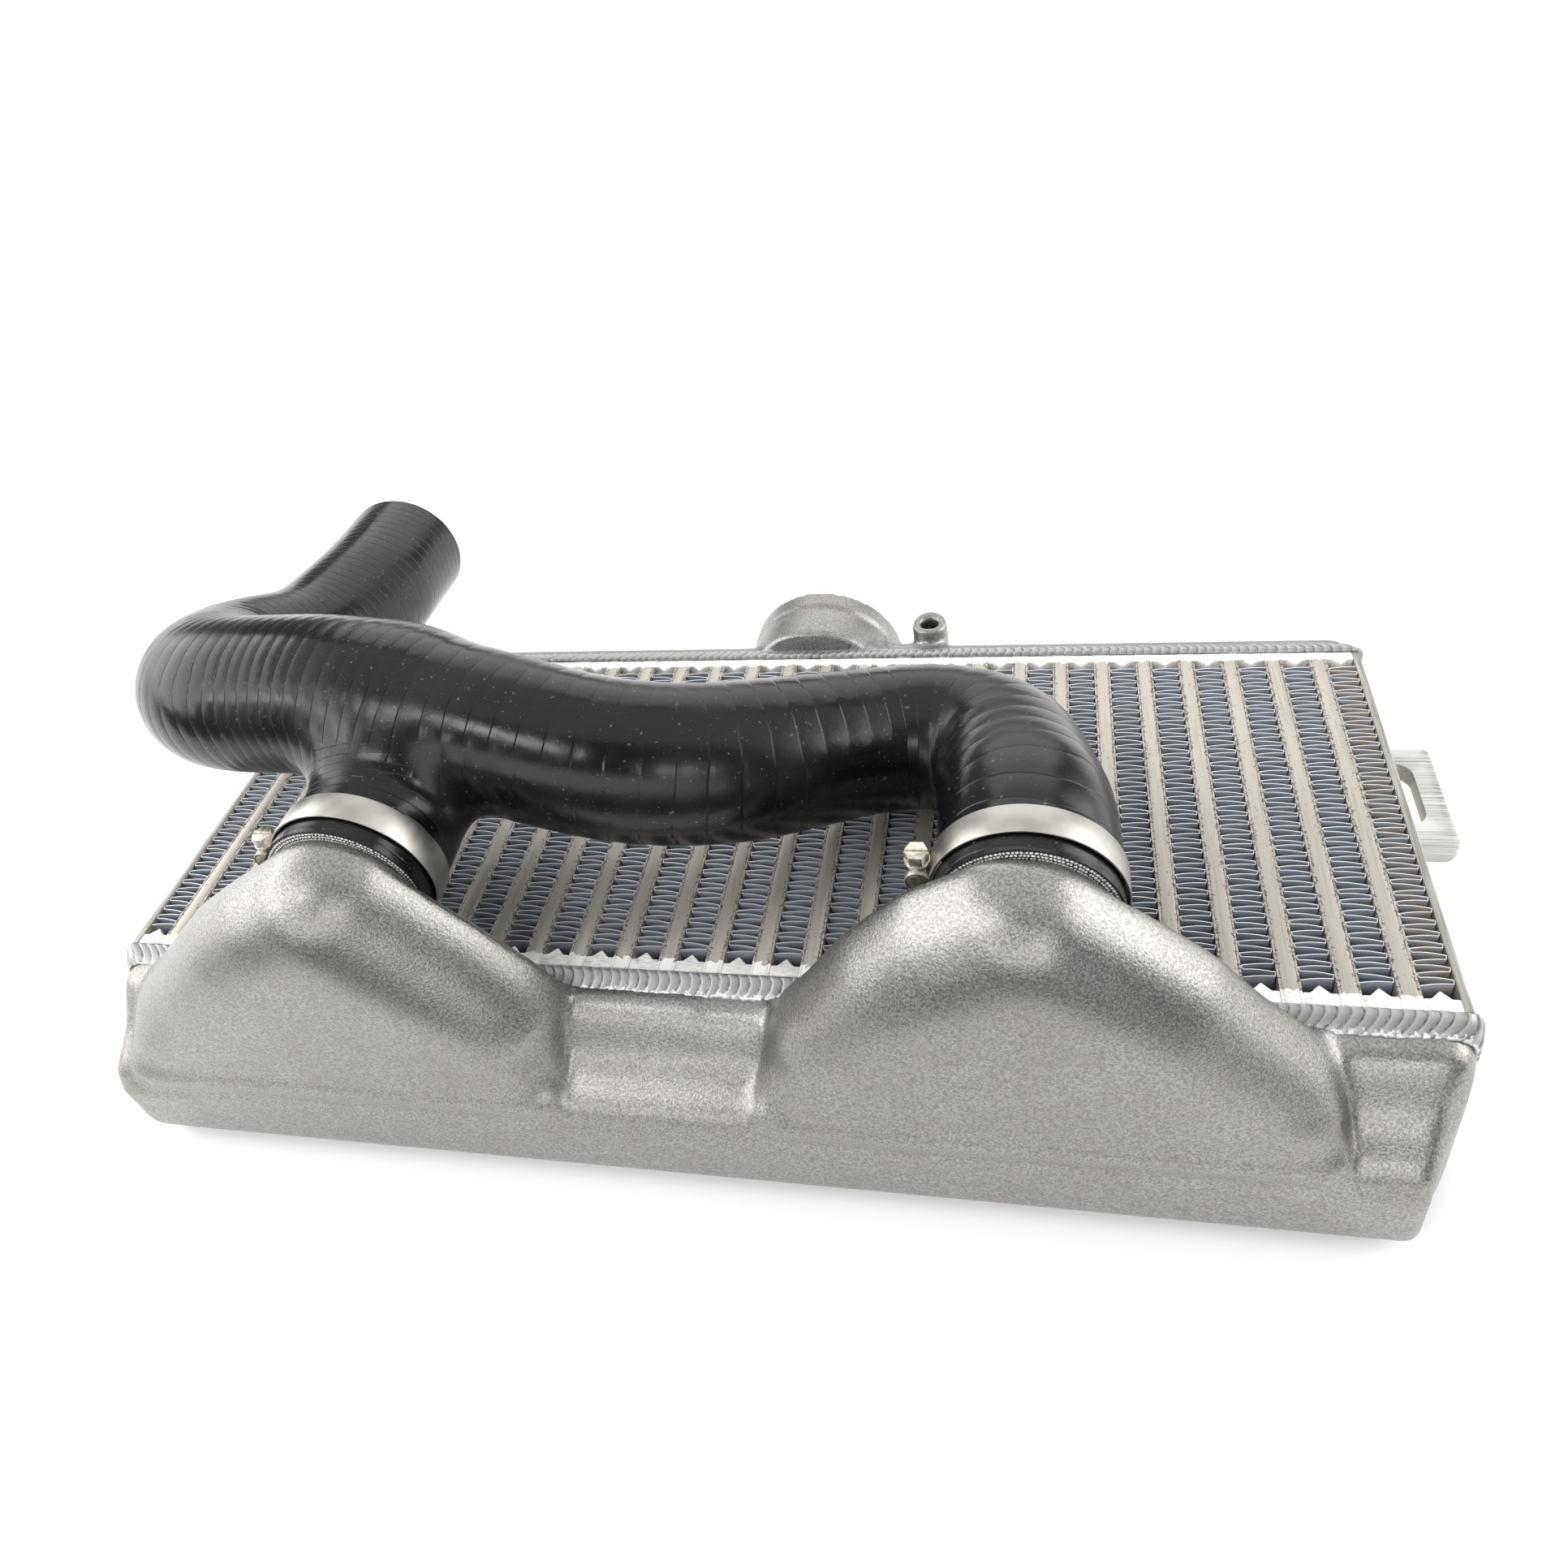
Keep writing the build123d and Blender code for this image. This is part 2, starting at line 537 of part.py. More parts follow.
# ---------------------------------------------------------------- the assembly
def build():
    """Make every node and write its file."""
    os.makedirs("parts", exist_ok=True)
    save("tube_bars", tube_bars())
    save("parting_sheets", parting_sheets())
    save("air_fins", air_fins())
    save("turbulator_fins", turbulators())
    save("front_header_bars", header_bars(FRONT, 1))
    save("rear_header_bars", header_bars(REAR, -1))
    save("left_side_plate", [side_plate(-1)])
    save("right_side_plate", [side_plate(1)])
    save("inlet_tank", [inlet_tank()])
    save("outlet_tank", [outlet_tank()])
    save("inlet_tank_weld", [inlet_weld()])
    save("outlet_tank_weld", [outlet_weld()])
    save("mounting_bracket", [bracket()])
    save("bracket_weld", bracket_welds())
    save("y_hose", [hose()])
    for name, neck_x in (("left", LEFT_NECK_X), ("right", RIGHT_NECK_X)):
        place = clamp_places(neck_x)
        save(name + "_clamp_band", [place * clamp_band()])
        save(name + "_clamp_bridge", [place * clamp_bridge()])
        save(name + "_clamp_trunnion", [place * trunnion(1, SCREW_RADIUS + SCREW_CLEARANCE)])
        save(name + "_clamp_nut", [place * trunnion(-1, SCREW_RADIUS + SCREW_CLEARANCE)])
        save(name + "_clamp_screw", [place * clamp_screw()])


build()
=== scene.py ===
"""Looks of a bar-and-plate charge-air cooler with cast tanks and a moulded Y hose.

Every piece is in metres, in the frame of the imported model: X along the core, +Y from the
inlet tank to the outlet tank, +Z up, and the origin in the middle of the core's lower face.
"""
import logging
import math
import random
from dataclasses import dataclass
from enum import Enum

import bpy
import numpy as np
from mathutils import Matrix, Vector


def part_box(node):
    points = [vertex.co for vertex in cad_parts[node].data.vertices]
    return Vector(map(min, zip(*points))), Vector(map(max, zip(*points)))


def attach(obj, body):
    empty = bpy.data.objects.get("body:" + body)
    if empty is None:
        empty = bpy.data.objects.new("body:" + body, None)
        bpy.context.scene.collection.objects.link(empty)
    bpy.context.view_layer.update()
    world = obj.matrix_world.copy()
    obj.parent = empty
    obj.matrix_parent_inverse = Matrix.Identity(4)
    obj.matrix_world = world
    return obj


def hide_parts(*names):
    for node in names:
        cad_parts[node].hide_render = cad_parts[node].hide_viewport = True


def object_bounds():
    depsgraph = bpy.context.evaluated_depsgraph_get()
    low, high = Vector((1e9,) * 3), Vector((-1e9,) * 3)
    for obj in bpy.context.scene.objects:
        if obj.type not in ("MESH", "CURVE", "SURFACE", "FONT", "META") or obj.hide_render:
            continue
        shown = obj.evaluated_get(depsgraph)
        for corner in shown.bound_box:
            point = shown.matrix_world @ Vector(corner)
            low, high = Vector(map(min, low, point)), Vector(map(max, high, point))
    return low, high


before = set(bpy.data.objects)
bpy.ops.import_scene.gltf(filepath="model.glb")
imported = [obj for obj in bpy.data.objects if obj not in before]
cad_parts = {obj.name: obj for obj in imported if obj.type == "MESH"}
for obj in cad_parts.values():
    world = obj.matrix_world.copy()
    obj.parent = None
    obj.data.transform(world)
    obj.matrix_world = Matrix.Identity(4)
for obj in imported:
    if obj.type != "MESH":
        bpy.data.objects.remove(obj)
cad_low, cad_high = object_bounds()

log = logging.getLogger("charge_cooler")

MM = 0.001
BODY = "root"
TUBES = 27
TUBE_WIDTH = 6.9 * MM
NECK_RADIUS = 25.3 * MM
RIGHT_NECK_X = 114.5 * MM
LEFT_NECK_X = -124.5 * MM

Socket = bpy.types.NodeSocket
Material = bpy.types.Material
Piece = bpy.types.Object
Triple = tuple[float, float, float]


# ---------------------------------------------------------------- places read from the frame
class Side(Enum):
    """The two ends of the core, by the sign of X."""

    LEFT = -1
    RIGHT = 1


@dataclass(frozen=True)
class Frame:
    """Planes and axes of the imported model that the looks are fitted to."""

    front: float
    rear: float
    top: float
    half_length: float
    pitch: float

    @classmethod
    def read(cls) -> "Frame":
        """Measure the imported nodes."""
        low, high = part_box("parting_sheets")
        return cls(
            front=low.y, rear=high.y, top=high.z, half_length=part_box("right_side_plate")[1].x,
            pitch=(high.x - low.x - TUBE_WIDTH) / (TUBES - 1))

    def neck(self, side: Side) -> Vector:
        """The middle of a hose neck's clamp, on the neck's axis."""
        low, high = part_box(f"{side.name.lower()}_clamp_bridge")
        band_low, band_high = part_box(f"{side.name.lower()}_clamp_band")
        centre_x = RIGHT_NECK_X if side is Side.RIGHT else LEFT_NECK_X
        return Vector((centre_x, (low.y + high.y) / 2, (band_low.z + band_high.z) / 2))


# ---------------------------------------------------------------- small tools
def rest() -> None:
    """Leave edit mode if need be, and deselect everything."""
    if bpy.context.mode != "OBJECT":
        bpy.ops.object.mode_set(mode="OBJECT")
    bpy.ops.object.select_all(action="DESELECT")


def take(piece: Piece) -> None:
    """Select one piece alone and make it the active one."""
    rest()
    piece.select_set(True)
    bpy.context.view_layer.objects.active = piece


def modify(piece: Piece, kind: str, **settings: object) -> None:
    """Add a modifier to a piece, set it and apply it.

    Args:
        piece: The piece to change.
        kind: The modifier's type, such as "BEVEL".
        settings: The modifier's properties by name.
    """
    modifier = piece.modifiers.new(kind.title(), kind)
    for name, value in settings.items():
        setattr(modifier, name, value)
    take(piece)
    bpy.ops.object.modifier_apply(modifier=modifier.name)


def merge(piece: Piece, distance: float = 0.01 * MM) -> None:
    """Merge a mesh's doubles and turn its faces outwards."""
    take(piece)
    bpy.ops.object.mode_set(mode="EDIT")
    bpy.ops.mesh.select_all(action="SELECT")
    bpy.ops.mesh.remove_doubles(threshold=distance)
    bpy.ops.mesh.normals_make_consistent(inside=False)
    bpy.ops.object.mode_set(mode="OBJECT")


def join(pieces: list[Piece], name: str) -> Piece:
    """Join several meshes into one piece.

    Args:
        pieces: The meshes, of which the first takes in the others.
        name: The name of the piece.

    Returns:
        The one piece.
    """
    take(pieces[0])
    for other in pieces[1:]:
        other.select_set(True)
    if len(pieces) > 1:
        bpy.ops.object.join()
    pieces[0].name = name
    pieces[0].data.name = name
    return pieces[0]


def settle(piece: Piece) -> None:
    """Put a piece's place into its mesh, so that its object sits at the origin."""
    take(piece)
    bpy.ops.object.transform_apply(location=True, rotation=True, scale=True)


def smooth(piece: Piece, degrees: float = 35.0) -> None:
    """Shade a piece smooth, apart from edges sharper than that."""
    take(piece)
    bpy.ops.object.shade_smooth_by_angle(angle=math.radians(degrees))


def points_of(piece: Piece) -> np.ndarray:
    """The vertices of a mesh as an array of rows."""
    flat = np.empty(len(piece.data.vertices) * 3)
    piece.data.vertices.foreach_get("co", flat)
    return flat.reshape(-1, 3)


def place_points(piece: Piece, points: np.ndarray) -> None:
    """Move the vertices of a mesh to the rows of an array."""
    piece.data.vertices.foreach_set("co", points.ravel())
    piece.data.update()


def store(piece: Piece, name: str, values: np.ndarray) -> None:
    """Keep one number for each vertex as an attribute that a material can read."""
    attribute = piece.data.attributes.new(name, "FLOAT", "POINT")
    attribute.data.foreach_set("value", values.astype(np.float32))


def into_scene(name: str, data: bpy.types.ID) -> Piece:
    """Stand a mesh, curve, light or camera in the scene as an object."""
    piece = bpy.data.objects.new(name, data)
    bpy.context.scene.collection.objects.link(piece)
    return piece


def copy_of(node: str, name: str) -> Piece:
    """A merged copy of a CAD node's mesh, as a new piece."""
    piece = into_scene(name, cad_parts[node].data.copy())
    piece.data.name = name
    piece.data.materials.clear()
    merge(piece)
    return piece


def dress(piece: Piece, *materials: Material) -> None:
    """Give a piece its materials, in the order of its slots."""
    piece.data.materials.clear()
    for material in materials:
        piece.data.materials.append(material)


def hand_over(piece: Piece, slot: str, *nodes: str) -> None:
    """Let a finished piece ride on the body in place of its CAD nodes.

    Args:
        piece: The finished piece.
        slot: The record's material slot; not used.
        nodes: The CAD nodes that it stands for.
    """
    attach(piece, BODY)
    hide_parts(*nodes)
    piece.data.calc_loop_triangles()
    log.info("%s: %d triangles for %s", piece.name, len(piece.data.loop_triangles), ", ".join(nodes))


def break_edges(
        node: str, name: str, width: float, degrees: float, material: Material, slot: str) -> None:
    """Put a copy with bevelled edges in a CAD node's place.

    Args:
        node: The CAD node.
        name: The name of the piece.
        width: How wide the bevel is.
        degrees: The least angle of an edge that is broken.
        material: The piece's material.
        slot: The record's material slot.
    """
    piece = copy_of(node, name)
    limit = math.radians(degrees)
    modify(piece, "BEVEL", width=width, segments=2, limit_method="ANGLE", angle_limit=limit)
    smooth(piece)
    dress(piece, material)
    hand_over(piece, slot, node)


# ---------------------------------------------------------------- material tools
def colour(code: str) -> tuple[float, float, float, float]:
    """Turn an sRGB hex colour to linear values."""
    parts = [int(code[i:i + 2], 16) / 255 for i in (1, 3, 5)]
    linear = [p / 12.92 if p <= 0.04045 else ((p + 0.055) / 1.055) ** 2.4 for p in parts]
    return (linear[0], linear[1], linear[2], 1.0)


@dataclass
class Coat:
    """A node material under construction: its tree, its shader and the piece's own coordinates."""

    name: str

    def __post_init__(self) -> None:
        """Make the empty material."""
        self.material = bpy.data.materials.new(self.name)
        self.material.use_nodes = True
        self.tree = self.material.node_tree
        self.shader = self.tree.nodes["Principled BSDF"]
        self.place = self.add("TexCoord").outputs["Object"]

    def add(self, kind: str, inputs: dict | None = None, **settings: object) -> bpy.types.Node:
        """Add one node with its settings and links.

        Args:
            kind: The node's type without its "ShaderNode" prefix.
            inputs: Values or sockets for the node's inputs, by name or index.
            settings: Properties of the node.

        Returns:
            The new node.
        """
        made = self.tree.nodes.new("ShaderNode" + kind)
        for name, value in settings.items():
            setattr(made, name, value)
        for name, value in (inputs or {}).items():
            if isinstance(value, Socket):
                self.tree.links.new(value, made.inputs[name])
            else:
                made.inputs[name].default_value = value
        return made

    def attribute(self, name: str) -> Socket:
        """A number that the mesh keeps for each vertex."""
        return self.add("Attribute", attribute_name=name).outputs["Fac"]

    def grain(self, size: float, detail: float = 2.0, stretch: Triple = (1, 1, 1)) -> Socket:
        """A noise whose blots are that large in metres, drawn out along the axes by the stretch.

        Args:
            size: The size of a blot.
            detail: How many finer layers lie on it.
            stretch: How many times longer the blots are along each axis.

        Returns:
            The noise, from 0 to 1 with most of it near a half.
        """
        scale = tuple(1 / s for s in stretch)
        place = self.add("Mapping", {"Vector": self.place, "Scale": scale}).outputs["Vector"]
        noise = self.add("TexNoise", {"Vector": place, "Scale": 1 / size, "Detail": detail})
        return noise.outputs["Fac"]

    def fade(self, value: Socket, start: float, stop: float, low: float = 0.0, high: float = 1.0) -> Socket:
        """Take a value from low to high as it goes from start to stop, and hold it outside."""
        return self.add(
            "MapRange", {"Value": value, "From Min": start, "From Max": stop, "To Min": low, "To Max": high}
        ).outputs["Result"]

    def sum(self, kind: str, first: object, second: object = 0.0) -> Socket:
        """One arithmetic step on two values."""
        return self.add("Math", {0: first, 1: second}, operation=kind).outputs["Value"]

    def blend(self, share: object, first: object, second: object) -> Socket:
        """Mix two colours by a share from 0 to 1. A colour is a hex code or a socket."""
        ends = [colour(c) if isinstance(c, str) else c for c in (first, second)]
        node = self.add("Mix", {0: share, 6: ends[0], 7: ends[1]}, data_type="RGBA")
        return node.outputs[2]

    def link(self, socket: str, value: Socket) -> None:
        """Lead a value to one of the shader's sockets."""
        self.tree.links.new(value, self.shader.inputs[socket])

    def set(self, **values: float) -> None:
        """Set constants on the shader's own sockets; a space in a name is written as an underscore."""
        for name, value in values.items():
            self.shader.inputs[name.replace("_", " ")].default_value = value

    def finish(
            self, base: Socket, relief: Socket, rough: Socket | None = None, **constants: float) -> Material:
        """Lead the base colour, relief and roughness to the shader and set its constants."""
        self.link("Base Color", base)
        self.link("Normal", relief)
        if rough is not None:
            self.link("Roughness", rough)
        self.set(**constants)
        return self.material

    def bump(self, height: Socket, depth: float, below: Socket | None = None) -> Socket:
        """Turn a height from 0 to 1 into relief that deep in metres, over the relief below."""
        inputs = {"Height": height, "Distance": depth, "Strength": 1.0}
        if below is not None:
            inputs["Normal"] = below
        return self.add("Bump", inputs).outputs["Normal"]


# ---------------------------------------------------------------- finishes
@dataclass(frozen=True)
class SandCast:
    """Aluminium cast in sand and blasted: matt warm grey, with a grain that sparkles."""

    name: str = "sand_cast_aluminium"
    light: str = "#AAA8A5"
    dark: str = "#7E7C79"
    stain: str = "#86827D"
    grain_size: float = 0.85 * MM
    fine_size: float = 0.5 * MM
    grain_depth: float = 0.11 * MM

    def make(self) -> Material:
        """Build the material."""
        coat = Coat(self.name)
        coarse = coat.grain(self.grain_size, 2.0)
        fine = coat.grain(self.fine_size, 1.0)
        cloud = coat.grain(26 * MM, 3.0)
        speck = coat.fade(coat.sum("ADD", coarse, coat.sum("MULTIPLY", fine, 0.8)), 0.7, 1.1)
        tone = coat.blend(speck, self.dark, self.light)
        return coat.finish(
            coat.blend(coat.fade(cloud, 0.4, 0.75, 0.0, 0.3), tone, self.stain),
            coat.bump(coarse, self.grain_depth, coat.bump(fine, self.grain_depth / 2)),
            coat.fade(fine, 0.3, 0.7, 0.33, 0.46), Metallic=1.0)


@dataclass(frozen=True)
class BrazedBar:
    """Drawn aluminium bar after furnace brazing: pale satin, pitted along its edges.

    Its ends were ground before the tanks were welded on, so they are whiter than the rest.
    """

    plan: Frame
    name: str = "brazed_drawn_aluminium"
    body: str = "#B1ACA4"
    shade: str = "#8B8780"
    ground: str = "#F1F0EC"
    ground_length: float = 5.2 * MM
    bar_half: float = 2.65 * MM

    def make(self) -> Material:
        """Build the material."""
        coat = Coat(self.name)
        axes = coat.add("SeparateXYZ", {0: coat.place})
        across = coat.sum("PINGPONG", axes.outputs["X"], self.plan.pitch / 2)
        drawn = coat.grain(1.6 * MM, 3.0, (0.5, 14, 1))
        pits = coat.grain(0.9 * MM, 2.0)
        edge = coat.fade(across, self.bar_half - 1.1 * MM, self.bar_half, 0.0, 0.17)
        pitted = coat.fade(coat.sum("ADD", pits, edge), 0.66, 0.76)
        tone = coat.blend(coat.fade(drawn, 0.3, 0.7), self.shade, self.body)
        toned = coat.blend(coat.fade(drawn, 0.38, 0.55, 0.35, 0.0), self.body, tone)
        worn = coat.blend(pitted, toned, "#6E6A64")
        depth = coat.sum("ABSOLUTE", axes.outputs["Y"])
        wander = coat.fade(coat.grain(2.4 * MM, 3.0), 0.3, 0.7, -1.2 * MM, 1.2 * MM)
        ragged = coat.sum("ADD", depth, wander)
        start = self.plan.rear - self.ground_length
        ends = coat.fade(ragged, start, start + 0.5 * MM)
        relief = coat.bump(drawn, 0.05 * MM)
        return coat.finish(
            coat.blend(ends, worn, self.ground),
            coat.bump(coat.fade(pitted, 0.0, 1.0, 1.0, 0.0), 0.12 * MM, relief),
            coat.fade(ends, 0.0, 1.0, 0.42, 0.6), Metallic=0.55)


@dataclass(frozen=True)
class FoldedFoil:
    """Rolled aluminium foil folded into fins, with a painted highlight on its cut edges and painted shade in
    the folds.
    """

    plan: Frame
    name: str = "rolled_aluminium_foil"
    # edge: painted highlight along the fins' cut edges
    edge: str = "#E4E3DF"
    wall: str = "#BCC4D0"
    # deep: painted shade in the folds, more than 9 mm inside the core's top and bottom faces
    deep: str = "#5B6373"
    # warm: painted warm reflection on the last row
    warm: str = "#DCCDBB"
    last_row: float = 236 * MM

    def make(self) -> Material:
        """Build the material."""
        coat = Coat(self.name)
        axes = coat.add("SeparateXYZ", {0: coat.place})
        from_middle = coat.sum("ABSOLUTE", coat.sum("SUBTRACT", axes.outputs["Z"], self.plan.top / 2))
        below = coat.sum("SUBTRACT", self.plan.top / 2, from_middle)
        rolled = coat.grain(3 * MM, 3.0, (3, 1, 0.5))
        # Painted warm reflection on the last row, in patches of the rolled noise
        end_row = coat.fade(axes.outputs["X"], self.last_row, self.last_row + 3 * MM)
        painted_reflection = coat.sum("MULTIPLY", end_row, coat.fade(rolled, 0.4, 0.6))
        wall = coat.blend(painted_reflection, self.wall, self.warm)
        # Painted shade: the wall colour darkens towards the deep colour further from the top and bottom
        # faces
        dark = coat.blend(coat.fade(below, 1.5 * MM, 9 * MM), wall, self.deep)
        # Noise mixes in more of the painted shade colour in patches
        shaded = coat.blend(coat.fade(rolled, 0.45, 0.7, 0.0, 0.4), dark, self.deep)
        # Within 0.5 mm of the top and bottom faces the cut edges take the painted highlight colour
        return coat.finish(
            coat.blend(coat.fade(below, 0.62 * MM, 0.5 * MM), shaded, self.edge),
            coat.bump(rolled, 0.15 * MM), Metallic=0.45, Roughness=0.36)


@dataclass(frozen=True)
class MillSheet:
    """Rolled aluminium sheet and plate as it left the mill: grey satin with faint streaks."""

    name: str = "rolled_aluminium_plate"
    light: str = "#B9B6B0"
    dark: str = "#8B8984"

    def make(self) -> Material:
        """Build the material."""
        coat = Coat(self.name)
        streak = coat.grain(0.9 * MM, 3.0, (1, 26, 1))
        stain = coat.grain(14 * MM, 4.0)
        tone = coat.blend(coat.fade(streak, 0.35, 0.65), self.dark, self.light)
        return coat.finish(
            coat.blend(coat.fade(stain, 0.5, 0.75, 0.0, 0.35), tone, "#98928A"),
            coat.bump(streak, 0.03 * MM),
            coat.fade(stain, 0.3, 0.7, 0.36, 0.5), Metallic=0.8)


@dataclass(frozen=True)
class GroundBar:
    """Aluminium bar ends brushed bright for welding: matt white metal with fine scratches."""

    name: str = "brushed_aluminium_bar"
    light: str = "#F3F2EE"
    dark: str = "#CFCDC8"

    def make(self) -> Material:
        """Build the material."""
        coat = Coat(self.name)
        scratch = coat.grain(0.5 * MM, 2.0, (8, 1, 1))
        blot = coat.grain(2.5 * MM, 3.0)
        tone = coat.blend(coat.fade(scratch, 0.3, 0.6), self.dark, self.light)
        return coat.finish(
            coat.blend(coat.fade(blot, 0.6, 0.75, 0.0, 0.6), tone, "#A9A59E"),
            coat.bump(scratch, 0.05 * MM, coat.bump(blot, 0.2 * MM)), Metallic=0.35, Roughness=0.55)


@dataclass(frozen=True)
class WeldMetal:
    """Aluminium melted by an arc: silvery ripples with painted shade in their notches, and a painted
    highlight at the toe.
    """

    name: str = "arc_welded_aluminium"
    bead: str = "#B3B3B2"
    # Painted shade in the notch at the start of each ripple
    painted_notch_shade: str = "#4E4F50"
    # toe: painted highlight on the bead's toe
    toe: str = "#DCDCDA"

    def make(self) -> Material:
        """Build the material from the bead's own "crest" and "toe" attributes."""
        coat = Coat(self.name)
        crest = coat.attribute("crest")
        toe = coat.attribute("toe")
        fine = coat.grain(1.4 * MM, 3.0)
        # Painted shade: dark in each ripple's notch, lighter up to its crown
        tone = coat.blend(coat.fade(crest, 0.1, 0.95), self.painted_notch_shade, self.bead)
        # Painted highlight on the toe and the back rows, with a ragged edge
        ragged = coat.sum("ADD", toe, coat.fade(fine, 0.3, 0.7, -0.16, 0.16))
        white = coat.fade(ragged, 0.86, 0.93)
        return coat.finish(
            coat.blend(white, tone, self.toe),
            coat.bump(fine, 0.08 * MM),
            coat.fade(white, 0.0, 1.0, 0.4, 0.55), Metallic=0.7)


@dataclass(frozen=True)
class MilledPlate:
    """Aluminium plate cut by an end mill: bright, with close tool marks across it."""

    name: str = "milled_aluminium_plate"
    light: str = "#DAD9D5"
    dark: str = "#A7A5A0"
    mark: float = 0.55 * MM

    def make(self) -> Material:
        """Build the material."""
        coat = Coat(self.name)
        marks = coat.grain(self.mark, 2.0, (60, 1, 1))
        broad = coat.grain(3 * MM, 2.0, (12, 1, 1))
        tone = coat.blend(coat.fade(marks, 0.3, 0.65), self.dark, self.light)
        return coat.finish(
            coat.blend(coat.fade(broad, 0.45, 0.7, 0.0, 0.5), tone, "#BDBBB6"),
            coat.bump(marks, 0.06 * MM),
            coat.fade(marks, 0.3, 0.7, 0.28, 0.45), Metallic=0.9)


@dataclass(frozen=True)
class WrappedSilicone:
    """Silicone rubber cured under a wrap of tape: glossy black, ridged where the turns lap."""

    name: str = "tape_wrapped_silicone"
    lap_depth: float = 0.1 * MM
    dust_size: float = 1.5 * MM

    def lap(self, coat: Coat, turns: Socket) -> Socket:
        """The height of the laps for a count of turns: nearly flat, with a narrow groove."""
        uneven = coat.fade(coat.grain(36 * MM, 2.0), 0.3, 0.7, -0.12, 0.12)
        share = coat.sum("FRACT", coat.sum("ADD", turns, uneven))
        rise = coat.fade(share, 0.0, 0.06)
        fall = coat.fade(share, 1.0, 0.86, 0.65, 1.0)
        return coat.sum("MULTIPLY", rise, fall)

    def make(self) -> Material:
        """Build the material from the hose's own "turns_main", "turns_branch" and "branch" attributes."""
        coat = Coat(self.name)
        main = self.lap(coat, coat.attribute("turns_main"))
        branch = self.lap(coat, coat.attribute("turns_branch"))
        share = coat.attribute("branch")
        lap = coat.add("Mix", {0: share, 2: main, 3: branch}, data_type="FLOAT").outputs[0]
        dust = coat.fade(coat.grain(self.dust_size, 1.0), 0.71, 0.76)
        smear = coat.grain(34 * MM, 5.0)
        film = coat.blend(coat.fade(smear, 0.45, 0.75, 0.0, 0.5), "#0B0B0D", "#1B1B1D")
        return coat.finish(
            coat.blend(coat.sum("MULTIPLY", dust, 0.5), film, "#6B6A68"),
            coat.bump(lap, self.lap_depth, coat.bump(coat.grain(5 * MM, 2.0), 0.1 * MM)),
            coat.fade(smear, 0.35, 0.75, 0.2, 0.38), IOR=1.41)


@dataclass(frozen=True)
class CutSilicone:
    """The cut end of the hose: matt black rubber with the white ends of its fabric plies."""

    centre: Triple
    turn: Triple = (0.0, 0.0, 0.0)
    name: str = "cut_silicone_with_plies"
    inner: float = 25.4 * MM
    outer: float = 29.3 * MM
    thread: float = 1.3 * MM

    def make(self) -> Material:
        """Build the material, with its rings centred on the hose's end."""
        coat = Coat(self.name)
        mapped = coat.add("Mapping", {"Vector": coat.place, "Location": self.centre, "Rotation": self.turn},
                          vector_type="TEXTURE")
        axes = coat.add("SeparateXYZ", {0: mapped.outputs["Vector"]})
        flat = coat.add("CombineXYZ", {"X": axes.outputs["X"], "Y": 0.0, "Z": axes.outputs["Z"]})
        radius = coat.add("VectorMath", {0: flat.outputs["Vector"]}, operation="LENGTH").outputs["Value"]
        angle = coat.sum("ARCTAN2", axes.outputs["Z"], axes.outputs["X"])
        uneven = coat.fade(coat.grain(1.6 * MM, 1.0), 0.3, 0.7, -0.3, 0.3)
        ply = coat.sum("DIVIDE", coat.sum("SUBTRACT", radius, self.inner), self.thread)
        count = coat.sum("MULTIPLY", angle, (self.inner + self.outer) / 2 / self.thread)
        stagger = coat.sum("MULTIPLY", coat.sum("FLOOR", ply), 0.5)
        turned = coat.sum("ADD", coat.sum("ADD", count, uneven), stagger)
        spot = coat.add("CombineXYZ", {
            "X": coat.sum("SUBTRACT", coat.sum("FRACT", turned), 0.5),
            "Y": coat.sum("SUBTRACT", coat.sum("FRACT", ply), 0.5)})
        away = coat.add("VectorMath", {0: spot.outputs["Vector"]}, operation="LENGTH").outputs["Value"]
        dots = coat.fade(away, 0.44, 0.3)
        outside = coat.sum("GREATER_THAN", radius, self.inner)
        ring = coat.sum("MULTIPLY", outside, coat.sum("LESS_THAN", radius, self.outer))
        return coat.finish(
            coat.blend(coat.sum("MULTIPLY", dots, ring), "#141416", "#E2E1DD"),
            coat.bump(coat.grain(0.8 * MM, 2.0), 0.2 * MM), Roughness=0.6)


@dataclass(frozen=True)
class PolishedStrip:
    """Stainless steel strip, rolled smooth and polished: bright, with hairlines along it."""

    name: str = "polished_stainless_strip"
    light: str = "#BFBCB6"
    dark: str = "#A9A6A1"

    def make(self) -> Material:
        """Build the material."""
        coat = Coat(self.name)
        hair = coat.grain(0.35 * MM, 1.0, (40, 1, 40))
        smudge = coat.grain(9 * MM, 3.0)
        return coat.finish(
            coat.blend(coat.fade(smudge, 0.35, 0.7), self.dark, self.light),
            coat.bump(hair, 0.01 * MM),
            coat.fade(smudge, 0.3, 0.7, 0.36, 0.46), Metallic=1.0)


@dataclass(frozen=True)
class ZincPlate:
    """Steel turned and headed, then zinc plated and passivated: pale yellow-silver."""

    name: str = "zinc_plated_steel"
    light: str = "#E6E2D6"
    dark: str = "#B5AF9E"

    def make(self) -> Material:
        """Build the material."""
        coat = Coat(self.name)
        blot = coat.grain(1.8 * MM, 3.0)
        return coat.finish(
            coat.blend(coat.fade(blot, 0.35, 0.65), self.dark, self.light),
            coat.bump(blot, 0.04 * MM),
            coat.fade(blot, 0.3, 0.7, 0.25, 0.42), Metallic=0.95)


